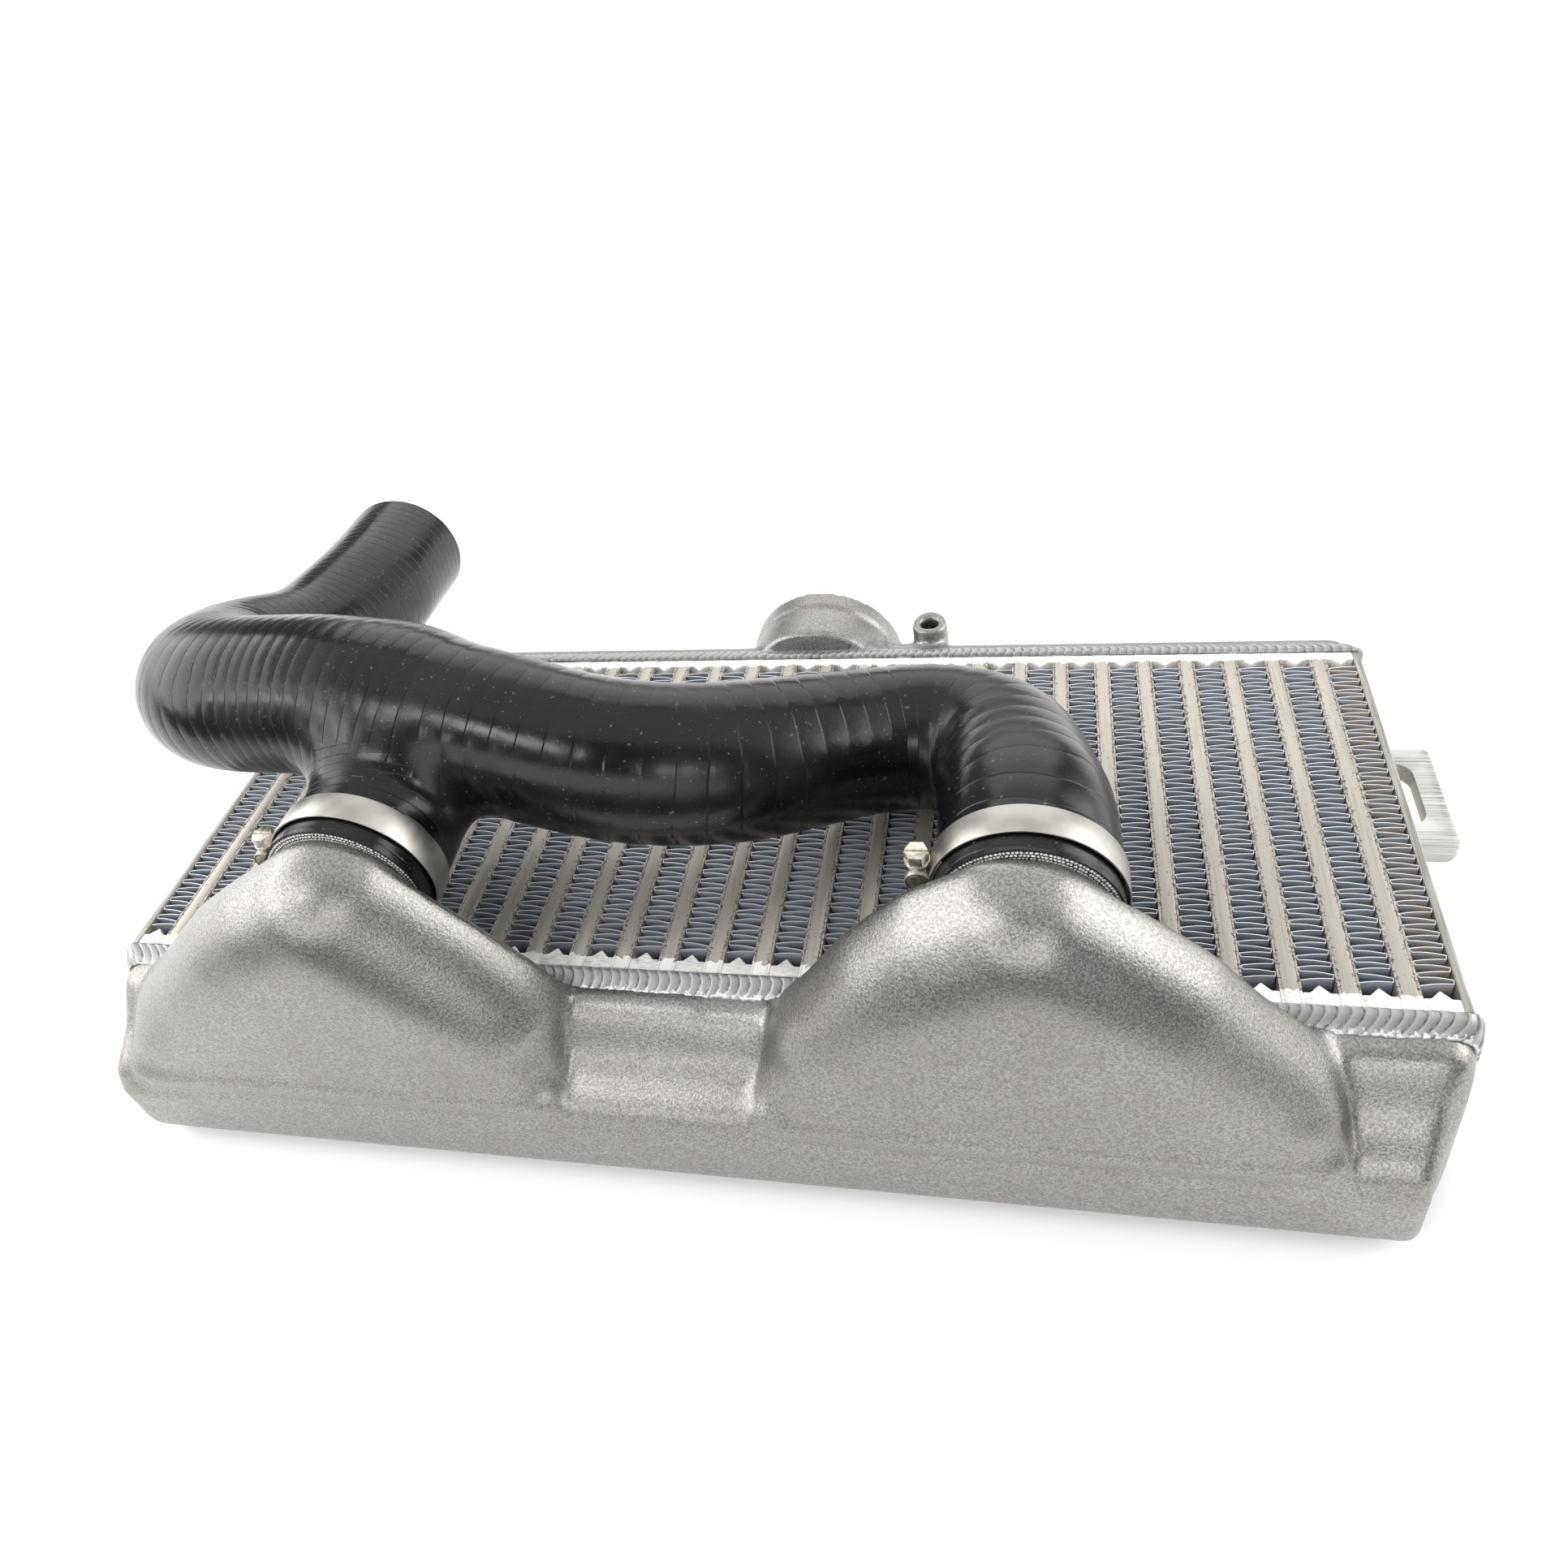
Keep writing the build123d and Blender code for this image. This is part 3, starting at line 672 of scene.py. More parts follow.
# ---------------------------------------------------------------- brazed core
@dataclass
class Core:
    """Bars, sheets and plates of the brazed core, with their edges broken."""

    plan: Frame
    bar_edge: float = 0.35 * MM
    sheet_edge: float = 0.12 * MM
    plate_edge: float = 0.4 * MM
    header_edge: float = 0.55 * MM

    def build(self) -> None:
        """Make every rigid piece of the core."""
        bar = BrazedBar(self.plan).make()
        ground = GroundBar().make()
        plate = MillSheet().make()
        pieces = (
            ("tube_bars", self.bar_edge, bar), ("parting_sheets", self.sheet_edge, bar),
            ("front_header_bars", self.header_edge, ground), ("rear_header_bars", self.header_edge, ground),
            ("left_side_plate", self.plate_edge, plate), ("right_side_plate", self.plate_edge, plate))
        for node, width, material in pieces:
            break_edges(node, node + "_dressed", width, 30, material, "core_aluminium")


@dataclass
class AirFins:
    """Foil folded back and forth across each cooling-air row."""

    plan: Frame
    fold_pitch: float = 2.35 * MM
    row_width: float = 10.9 * MM
    foil: float = 0.26 * MM
    taper: float = 0.36
    bow: float = 0.2 * MM
    levels: int = 3
    bow_spread: float = 0.4
    sway: float = 0.3 * MM
    sway_turns: float = 1.3
    sway_start: float = 0.4
    jog: float = 0.1
    inset: float = 0.35 * MM
    shares: tuple[float, ...] = (0.0, 0.04, 0.26, 0.5, 0.74, 0.96)
    seed: int = 7

    def strip(self, middle: float, name: str, chance: random.Random) -> Piece:
        """One folded strip in the row about that X."""
        low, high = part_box("air_fins")
        run = high.y - low.y
        legs = int(run / self.fold_pitch)
        points = len(self.shares)
        steps = legs * points
        rest()
        bpy.ops.mesh.primitive_grid_add(x_subdivisions=steps, y_subdivisions=self.levels, size=1)
        strip = bpy.context.object
        grid = points_of(strip)
        count = np.round((grid[:, 0] + 0.5) * steps).astype(int)
        level = grid[:, 1] + 0.5
        leg = np.minimum(count // points, legs - 1)
        share = np.append(self.shares, 1.0)[np.minimum(count - leg * points, points)]
        offsets = np.array([chance.uniform(-1, 1) for _ in range(legs + 1)])
        side = np.where(leg % 2 == 0, 1.0, -1.0)
        across = side * (share - 0.5) * (self.row_width - self.foil)
        slant = self.fold_pitch * self.taper * (share - 0.5)
        lean = self.bow * np.sin(np.pi * share) * (1 + self.bow_spread * offsets[leg])
        wave = np.sin(level * (2 * self.sway_turns) * np.pi + self.sway_start)
        sway = self.sway * wave * np.sin(np.pi * share)
        jog = self.jog * self.fold_pitch * (offsets[leg] * (1 - share) + offsets[leg + 1] * share)
        along = low.y + (leg + 0.5) * run / legs + slant + lean + sway + jog
        height = self.plan.top * level - self.inset * (2 * level - 1)
        place_points(strip, np.column_stack((middle + across, along, height)))
        modify(strip, "SOLIDIFY", thickness=self.foil, offset=0.0)
        strip.name = name
        return strip

    def build(self) -> None:
        """Make all the rows as one piece."""
        chance = random.Random(self.seed)
        rows = TUBES + 1
        first = -(rows - 1) / 2 * self.plan.pitch
        strips = [self.strip(first + i * self.plan.pitch, f"fin_row_{i}", chance) for i in range(rows)]
        fins = join(strips, "folded_air_fins")
        smooth(fins, 40)
        dress(fins, FoldedFoil(self.plan).make())
        hand_over(fins, "fin_aluminium", "air_fins")


# ---------------------------------------------------------------- welds
@dataclass
class WeldBeads:
    """Ropes of overlapping arc-weld ripples round the tanks and along the bracket."""

    plan: Frame
    pitch: float = 3.8 * MM
    step: float = 0.42 * MM
    rows: int = 16
    reach: float = 8.2 * MM
    bulge: float = 1.3 * MM
    ripple: float = 0.85 * MM
    bow: float = 0.6
    sweep: float = 0.15
    scallop: float = 0.7 * MM
    core_corner: float = 2.2 * MM
    tank_corner: float = 8.0 * MM
    tank_drop: float = 2.7 * MM
    back_rows: int = 3
    back_dip: float = 1.6 * MM
    lean: float = 15.0
    notch: float = 0.16
    fall: float = 0.5
    skew: float = 0.55
    uneven: float = 0.25
    corner_steps: float = 1.3
    edge_rise: float = 2.5
    toe_spread: float = 0.5
    waves: tuple[tuple[float, int, float], ...] = ((0.16, 9, 0.0), (0.12, 31, 1.0))
    end_stand: float = 0.7 * MM
    floor_gap: float = 0.1 * MM
    arm_ends: tuple[float, float, float, float] = (1.5 * MM, 10.5 * MM, 7.5 * MM, 1.5 * MM)
    arm_pitch: float = 1.9 * MM
    arm_stand: float = 0.4 * MM
    arm_ripple: Triple = (1.1 * MM, 1.75 * MM, 2.3 * MM)
    arm_voxel: float = 0.22 * MM
    seed: int = 11

    def outline(
            self, half_x: float, drop: float, corner: float, counts: tuple[int, int, int]) -> np.ndarray:
        """A rounded rectangle about the core's end view, clockwise from the middle of its left side.

        Args:
            half_x: Half its length.
            drop: How far its long sides lie inside the core's faces.
            corner: The radius of its corners.
            counts: Steps along a long side, an upright side and a corner.

        Returns:
            Rows of x, z and the outward direction's x and z.
        """
        low, high = drop, self.plan.top - drop
        long_side, upright, bend = counts
        rows = []
        sides = (
            ((-half_x, low + corner), (-half_x, high - corner), 180.0, upright),
            ((-half_x + corner, high), (half_x - corner, high), 90.0, long_side),
            ((half_x, high - corner), (half_x, low + corner), 0.0, upright),
            ((half_x - corner, low), (-half_x + corner, low), -90.0, long_side))
        for start, stop, angle, steps in sides:
            normal = (math.cos(math.radians(angle)), math.sin(math.radians(angle)))
            for i in range(steps):
                share = i / steps
                x, z = (a + (b - a) * share for a, b in zip(start, stop))
                rows.append((x, z, *normal))
            centre = (stop[0] - normal[0] * corner, stop[1] - normal[1] * corner)
            for i in range(bend):
                turned = math.radians(angle - 90 * i / bend)
                out = (math.cos(turned), math.sin(turned))
                rows.append((centre[0] + out[0] * corner, centre[1] + out[1] * corner, *out))
        rows.append(rows[0])
        return np.array(rows)

    def rope(self, name: str, face: float, outward_y: float) -> Piece:
        """The bead round one tank.

        Args:
            name: The name of the piece.
            face: The Y of the core's face.
            outward_y: The sign of Y away from the core.

        Returns:
            The bead, with its "crest" and "toe" attributes.
        """
        counts = (
            round(2 * self.plan.half_length / self.step), round(self.plan.top / self.step),
            round(self.corner_steps * self.tank_corner / self.step))
        core = self.outline(self.plan.half_length + self.end_stand, 0.0, self.core_corner, counts)
        tank = self.outline(self.plan.half_length, self.tank_drop, self.tank_corner, counts)
        steps = len(core) - 1
        rest()
        rows = self.rows + self.back_rows
        bpy.ops.mesh.primitive_grid_add(x_subdivisions=steps, y_subdivisions=rows, size=1)
        bead = bpy.context.object
        grid = points_of(bead)
        station = np.round((grid[:, 0] + 0.5) * steps).astype(int)
        row = np.round((grid[:, 1] + 0.5) * rows).astype(int)
        chance = np.random.default_rng(self.seed)
        along = station * self.step
        total = steps * self.step
        count = round(total / self.pitch)
        angle = along * 2 * np.pi
        wander = sum(size * np.sin(angle * turns / total + start) for size, turns, start in self.waves)
        across = np.clip(row / self.rows, 0, 1)
        bowed = self.bow * (1 - (2 * across - 1) ** 2)
        phase = along / total * count + wander - bowed + self.sweep * across ** 2
        number = np.floor(phase).astype(int) % count
        share = phase - np.floor(phase)
        size = 1 + self.uneven * chance.standard_normal(count)[number].clip(-1, 1)
        crown = np.minimum(share / self.notch, 1) * (1 - self.fall * share)
        arched = 1 - (2 * across ** self.skew - 1) ** 2
        height = self.bulge * arched + self.ripple * size * crown * np.minimum(self.edge_rise * arched, 1)
        spread = self.toe_spread * chance.uniform(-1, 1, count)[number]
        toe = self.scallop * (crown + spread) * across ** 3
        back = row > self.rows
        depth = (row - self.rows) / self.back_rows
        inward = np.where(back, self.back_dip * np.sin(np.pi * np.clip(depth, 0, 1)), 0.0)
        weight = np.where(back, 1 - depth, across)
        ring_core, ring_tank = core[station], tank[station]
        flat = ring_core * (1 - weight)[:, None] + ring_tank * weight[:, None]
        normal = flat[:, 2:] / np.linalg.norm(flat[:, 2:], axis=1)[:, None]
        lean = math.radians(self.lean)
        rise = np.where(back, -inward, height)
        x = flat[:, 0] + normal[:, 0] * rise * math.cos(lean)
        z = flat[:, 1] + normal[:, 1] * rise * math.cos(lean)
        out = weight * self.reach + np.where(back, 0.0, toe + height * math.sin(lean))
        z = np.clip(z, self.floor_gap, None)
        place_points(bead, np.column_stack((x, face + outward_y * out, z)))
        # The material paints a highlight where "toe" nears 1: on the toe and on the back rows.
        store(bead, "toe", np.where(back, 1.0, across))
        # The material paints shade where "crest" is low, in each ripple's notch.
        store(bead, "crest", crown)
        bead.name = name
        merge(bead, 0.005 * MM)
        return bead

    def bracket(self) -> Piece:
        """The short beads above and below each of the bracket's arms, as rows of small ripples."""
        low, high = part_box("mounting_bracket")
        chance = random.Random(self.seed)
        ripples = []
        x = self.plan.half_length + self.arm_stand
        a, b, c, d = self.arm_ends
        for start, stop in ((low.y + a, low.y + b), (high.y - c, high.y - d)):
            count = round((stop - start) / self.arm_pitch)
            for i in range(count + 1):
                for z, up in ((high.z, 1), (low.z, -1)):
                    rest()
                    y = start + (stop - start) * i / count
                    bpy.ops.mesh.primitive_uv_sphere_add(
                        segments=14, ring_count=8, radius=1, location=(x, y, z + up * self.arm_stand),
                        rotation=(0, -up * math.radians(45), up * math.radians(chance.uniform(8, 16))),
                        scale=self.arm_ripple)
                    settle(bpy.context.object)
                    ripples.append(bpy.context.object)
        bead = join(ripples, "bracket_bead")
        modify(bead, "REMESH", mode="VOXEL", voxel_size=self.arm_voxel)
        modify(bead, "SMOOTH", factor=0.5, iterations=2)
        store(bead, "toe", np.full(len(bead.data.vertices), 0.3))
        store(bead, "crest", np.full(len(bead.data.vertices), 0.6))
        return bead

    def build(self) -> None:
        """Make the beads round both tanks and at the bracket."""
        metal = WeldMetal().make()
        beads = (
            (self.rope("inlet_tank_bead", self.plan.front, -1.0), "inlet_tank_weld"),
            (self.rope("outlet_tank_bead", self.plan.rear, 1.0), "outlet_tank_weld"),
            (self.bracket(), "bracket_weld"))
        for bead, node in beads:
            smooth(bead, 180)
            dress(bead, metal)
            hand_over(bead, "weld_aluminium", node)


# ---------------------------------------------------------------- castings
@dataclass(frozen=True)
class Hump:
    """One hump of the inlet tank, as the hull of the circles that its arch touches.

    The arch grows by the rear and front values, in millimetres, at each of the angles seen
    from a point below the neck.
    """

    circles: tuple[Triple, ...]
    rear: tuple[float, ...]
    front: tuple[float, ...]
    angles: tuple[float, ...] = (-85, -65, -45, -25, -10, 0, 10, 25, 45, 65, 85)
    middle: float = 60 * MM
    edge: float = 28 * MM
    wall: float = 4 * MM
    back: float = 9 * MM
    back_fade: float = 3 * MM
    skin: float = 0.8 * MM
    face: float = 40 * MM
    round_from: tuple[float, float] = (48 * MM, 20 * MM)
    swell_from: tuple[float, float] = (50 * MM, 24 * MM)
    neck_clear: tuple[float, float] = (16 * MM, 34 * MM)
    swell_width: tuple[float, float] = (125 * MM, 12 * MM)

    @staticmethod
    def ramp(value: np.ndarray, start: tuple[float, float]) -> np.ndarray:
        """Rise from 0 at the first number to 1 when the second is added to it."""
        return np.clip((value - start[0]) / start[1], 0, 1)

    def inside(self, points: np.ndarray) -> tuple[np.ndarray, np.ndarray]:
        """How deep each point lies inside the arch.

        Args:
            points: The points.

        Returns:
            The depth of each, and the direction in X and Z in which it is nearest to the arch.
        """
        turns = np.radians(np.arange(-105, 106, 3))
        ways = np.column_stack((np.sin(turns), np.cos(turns)))
        reach = np.max([np.array((x, z)) * MM @ ways.T + r * MM for x, z, r in self.circles], axis=0)
        flat = points[:, (0, 2)]
        depth = np.full(len(points), np.inf)
        way = np.zeros((len(points), 2))
        for direction, limit in zip(ways, reach):
            found = limit - flat @ direction
            closer = found < depth
            depth[closer] = found[closer]
            way[closer] = direction
        return depth, way

    def round_over(self, points: np.ndarray, normals: np.ndarray, plan: Frame) -> None:
        """Round the arch's front edge over with the edge radius, and its inner side with less."""
        depth, way = self.inside(points)
        out = plan.front - points[:, 1]
        side, ahead = self.edge - depth, out - (self.face - self.edge)
        far = np.hypot(side, ahead)
        outwards = side * np.einsum("ij,ij->i", normals[:, (0, 2)], way) - ahead * normals[:, 1]
        limit = np.where(outwards > 0, self.edge, self.edge - self.wall)
        held = self.ramp(points[:, 2], self.round_from)
        beyond = (side > 0) & (ahead > 0) & (far > limit) & (depth > -self.skin)
        share = np.where(beyond, held * (1 - limit / np.maximum(far, MM)), 0.0)
        points[:, 0] -= way[:, 0] * side * share
        points[:, 2] -= way[:, 1] * side * share
        points[:, 1] += ahead * share

    def swell(self, points: np.ndarray, plan: Frame) -> None:
        """Grow the arch by its rear and front values."""
        reach = np.column_stack((points[:, 0] - self.circles[0][0] * MM, points[:, 2] - self.middle))
        far = np.linalg.norm(reach, axis=1)
        angle = np.degrees(np.arctan2(reach[:, 0], reach[:, 1]))
        out = plan.front - points[:, 1]
        ahead = np.clip((out - self.back) / (self.face - self.back), 0, 1)
        started = np.clip((out - self.back) / self.back_fade + 1, 0, 1)
        rear = np.interp(angle, self.angles, self.rear) * started
        push = rear * (1 - ahead) + np.interp(angle, self.angles, self.front) * ahead
        push *= self.ramp(points[:, 2], self.swell_from) * self.ramp(far, self.neck_clear)
        push *= np.clip((self.swell_width[0] - np.abs(reach[:, 0])) / self.swell_width[1], 0, 1) * MM
        points[:, 0] += push * reach[:, 0] / np.maximum(far, MM)
        points[:, 2] += push * reach[:, 1] / np.maximum(far, MM)


RIGHT_HUMP = Hump(
    circles=((114.5, 126, 28), (54, 64.5, 30), (184, 56, 30), (34, 34, 26), (192, 34, 26)),
    rear=(0, 3, 8, 9, 4, 0, 0, 2, 3, -1, -3), front=(3, 5, 6, 4, 1, 0, 1, 3, 4, 2, 0))
LEFT_HUMP = Hump(
    circles=((-124.5, 126, 28), (-212, 54, 30), (-88, 65, 30), (-220, 34, 26), (-72, 34, 26)),
    rear=(0, 3, 5, 3, 0, 0, 0, 4, 7, 9, 9), front=(0, 4, 6, 4, 0, -3, -4, -1, 2, 5, 6))


@dataclass
class Castings:
    """The two cast tanks, with the soft blends that sand moulds leave."""

    plan: Frame
    voxel: float = 1.55 * MM
    blend_passes: int = 16
    hump_passes: int = 26
    rim: float = 4.0 * MM
    rim_fade: float = 3 * MM
    foot_low: float = 27 * MM
    foot_high: float = 44 * MM
    foot_depth: float = 36 * MM
    slope_top: tuple[float, float] = (14.0 * MM, 73.5 * MM)
    slope_foot: tuple[float, float] = (38.5 * MM, 40.0 * MM)
    slope_reach: float = 5 * MM
    slope_hold: float = 1.6
    dish: float = 1.2 * MM
    dish_at: float = 0.45
    ridge: float = 3.2 * MM
    ridge_at: float = 0.9
    spread: float = 0.2
    right_taper: float = 14 * MM
    left_flare: float = 3.5 * MM
    flare_start: float = 9 * MM
    flare_run: float = 31 * MM
    taper_length: float = 42 * MM
    flare_length: float = 16 * MM
    crest_low: float = 62 * MM
    crest_rise: float = 12 * MM
    neck_hold: float = 6.5 * MM
    neck_margin: float = 1 * MM
    ledge_hold: float = 0.9
    pipe_from: float = 25 * MM
    pipe_fade: float = 6 * MM

    def soften(self, piece: Piece, free: np.ndarray, passes: int) -> None:
        """Smooth a casting where it isn't machined.

        Args:
            piece: The casting.
            free: For each point, from 0, kept as it is, to 1, smoothed freely.
            passes: How many times the surface is smoothed.
        """
        group = piece.vertex_groups.new(name="free")
        for share in range(1, 11):
            chosen = np.nonzero(np.ceil(free * 10) == share)[0]
            group.add(chosen.tolist(), share / 10, "REPLACE")
        modify(piece, "SMOOTH", factor=0.5, iterations=passes, vertex_group="free")
        piece.vertex_groups.clear()

    def shape(self, piece: Piece) -> None:
        """Fill the humps out, dish the trough's slope above its ridge and trim the tank's ends."""
        points = points_of(piece)
        normals = np.empty(points.size)
        piece.data.vertices.foreach_get("normal", normals)
        for hump in (RIGHT_HUMP, LEFT_HUMP):
            hump.round_over(points, normals.reshape(-1, 3), self.plan)
            hump.swell(points, self.plan)
        out = self.plan.front - points[:, 1]
        (out_a, z_a), (out_b, z_b) = self.slope_top, self.slope_foot
        length = math.hypot(out_b - out_a, z_b - z_a)
        along = np.array([(out_b - out_a) / length, (z_b - z_a) / length])
        normal = np.array([-along[1], along[0]])
        local = np.column_stack((out - out_a, points[:, 2] - z_a))
        share = local @ along / length
        away = np.abs(local @ normal)
        near = np.clip(self.slope_hold - away / self.slope_reach, 0, 1)
        ridge = self.ridge * np.exp(-((share - self.ridge_at) / self.spread) ** 2)
        rise = ridge - self.dish * np.exp(-((share - self.dish_at) / self.spread) ** 2)
        points[:, 1] -= near * rise * normal[0]
        points[:, 2] += near * rise * normal[1]
        depth = np.clip((out - self.flare_start) / self.flare_run, 0, 1)
        depth = depth * depth * (3 - 2 * depth)
        half = self.plan.half_length
        right_end = np.clip((points[:, 0] - (half - self.taper_length)) / self.taper_length, 0, 1)
        points[:, 0] -= self.right_taper * depth * right_end
        left_end = np.clip((-points[:, 0] - (half - self.flare_length)) / self.flare_length, 0, 1)
        points[:, 0] -= self.left_flare * depth * left_end
        points[:, 1] = np.maximum(points[:, 1], cad_low[1])
        place_points(piece, points)

    def inlet(self) -> Piece:
        """The tank with two humps and their necks."""
        tank = copy_of("inlet_tank", "inlet_tank_casting")
        modify(tank, "REMESH", mode="VOXEL", voxel_size=self.voxel)
        self.shape(tank)
        points = points_of(tank)
        near = np.clip((points[:, 1] - (self.plan.front - self.rim)) / self.rim_fade, 0, 1)
        held = near * (points[:, 2] < self.plan.top)
        height = points[:, 2]
        for side in Side:
            neck = self.plan.neck(side)
            away = np.hypot(points[:, 0] - neck.x, height - neck.z)
            at_face = points[:, 1] > self.plan.front - self.neck_hold
            held = np.maximum(held, (away < NECK_RADIUS + self.neck_margin) & at_face)
        out = self.plan.front - points[:, 1]
        ledge = (height > self.foot_low) & (height < self.foot_high) & (out > self.foot_depth)
        held = np.maximum(held, self.ledge_hold * ledge)
        crest = np.clip((height - self.crest_low) / self.crest_rise, 0, 1)
        self.soften(tank, (1 - held) * crest, self.hump_passes)
        self.soften(tank, 1 - held, self.blend_passes)
        return tank

    def outlet(self) -> Piece:
        """The tank with the round pipe and the bolt boss."""
        tank = copy_of("outlet_tank", "outlet_tank_casting")
        modify(tank, "REMESH", mode="VOXEL", voxel_size=self.voxel)
        points = points_of(tank)
        near = np.clip(((self.plan.rear + self.rim) - points[:, 1]) / self.rim_fade, 0, 1)
        away = np.clip((points[:, 1] - (self.plan.rear + self.pipe_from)) / self.pipe_fade, 0, 1)
        self.soften(tank, 1 - np.maximum(near, away), self.blend_passes)
        return tank

    def build(self) -> None:
        """Make both castings."""
        metal = SandCast().make()
        for tank, node in ((self.inlet(), "inlet_tank"), (self.outlet(), "outlet_tank")):
            smooth(tank, 50)
            dress(tank, metal)
            hand_over(tank, "cast_aluminium", node)


# ---------------------------------------------------------------- hose
@dataclass(frozen=True)
class Corner:
    """One corner of the hose's centre line: its place, the hose's radius there and its bend."""

    x: float
    back: float
    rise: float
    radius: float
    bend: float = 0.0


@dataclass
class Route:
    """A centre line of straight runs and round bends, sampled evenly."""

    plan: Frame
    corners: list[Corner]
    step: float = 1.5 * MM
    tail: float = 8 * MM
    bend_steps: int = 8
    passes: int = 30

    def sample(self) -> tuple[np.ndarray, np.ndarray, np.ndarray]:
        """Points along the line.

        Returns:
            The points, the hose's radius at each and the distance along the line.
        """
        knots = [
            Vector((c.x * MM, self.plan.front + c.back * MM, self.plan.top + c.rise * MM))
            for c in self.corners]
        knots[0] = knots[0] + (knots[0] - knots[1]).normalized() * self.tail
        knots[-1] = knots[-1] + (knots[-1] - knots[-2]).normalized() * self.tail
        runs = [(b - a).normalized() for a, b in zip(knots, knots[1:])]
        line = [knots[0]]
        widths = [self.corners[0].radius]
        for i in range(1, len(knots) - 1):
            turn = runs[i - 1].angle(runs[i])
            bend = self.corners[i].bend * MM
            trim = bend * math.tan(turn / 2)
            normal = runs[i - 1].cross(runs[i]).normalized()
            centre = knots[i] - runs[i - 1] * trim + normal.cross(runs[i - 1]) * bend
            spoke = knots[i] - runs[i - 1] * trim - centre
            for j in range(self.bend_steps + 1):
                line.append(centre + Matrix.Rotation(turn * j / self.bend_steps, 3, normal) @ spoke)
                widths.append(self.corners[i].radius)
        line.append(knots[-1])
        widths.append(self.corners[-1].radius)
        rough = np.array(line)
        gaps = np.linalg.norm(np.diff(rough, axis=0), axis=1)
        reach = np.concatenate(([0], np.cumsum(gaps)))
        even = np.arange(0, reach[-1], self.step)
        points = np.column_stack([np.interp(even, reach, rough[:, k]) for k in range(3)])
        radii = np.interp(even, reach, np.array(widths) * MM)
        for _ in range(self.passes):
            points[1:-1] = 0.25 * points[:-2] + 0.5 * points[1:-1] + 0.25 * points[2:]
            radii[1:-1] = 0.25 * radii[:-2] + 0.5 * radii[1:-1] + 0.25 * radii[2:]
        return points, radii, even


@dataclass
class Tube:
    """A round tube about a sampled centre line."""

    points: np.ndarray
    radii: np.ndarray
    along: np.ndarray
    batch: int = 4000

    def nearest(self, places: np.ndarray) -> tuple[np.ndarray, np.ndarray, np.ndarray, np.ndarray]:
        """Where each place lies against the tube.

        Returns:
            The distance from the centre line, the direction away from it, the distance along it
            and the tube's radius there.
        """
        starts, spans = self.points[:-1], np.diff(self.points, axis=0)
        lengths = (spans ** 2).sum(1)
        best = np.empty(len(places), int)
        share = np.empty(len(places))
        for first in range(0, len(places), self.batch):
            chunk = places[first:first + self.batch]
            gap = ((chunk[:, None, :] - self.points[None, :-1, :]) ** 2).sum(2)
            near = gap.argmin(1)
            t = ((chunk - starts[near]) * spans[near]).sum(1) / lengths[near]
            back = (t < 0) & (near > 0)
            near = np.where(back, near - 1, near)
            t = ((chunk - starts[near]) * spans[near]).sum(1) / lengths[near]
            best[first:first + self.batch] = near
            share[first:first + self.batch] = np.clip(t, 0, 1)
        foot = starts[best] + spans[best] * share[:, None]
        away = places - foot
        distance = np.linalg.norm(away, axis=1)
        direction = away / np.maximum(distance, 1e-9)[:, None]
        along = self.along[best] + share * (self.along[best + 1] - self.along[best])
        radius = self.radii[best] + share * (self.radii[best + 1] - self.radii[best])
        return distance, direction, along, radius

    def skin(self, name: str, inset: float, sides: int) -> Piece:
        """A closed mesh of the tube, that far inside its outer face."""
        data = bpy.data.curves.new(name, "CURVE")
        data.dimensions = "3D"
        data.bevel_depth = 1.0
        data.bevel_resolution = sides // 4 - 1
        data.use_fill_caps = True
        data.twist_mode = "MINIMUM"
        spline = data.splines.new("POLY")
        spline.points.add(len(self.points) - 1)
        for point, place, radius in zip(spline.points, self.points, self.radii):
            point.co = (*place, 1)
            point.radius = radius - inset
        take(into_scene(name, data))
        bpy.ops.object.convert(target="MESH")
        tube = bpy.context.object
        merge(tube)
        return tube


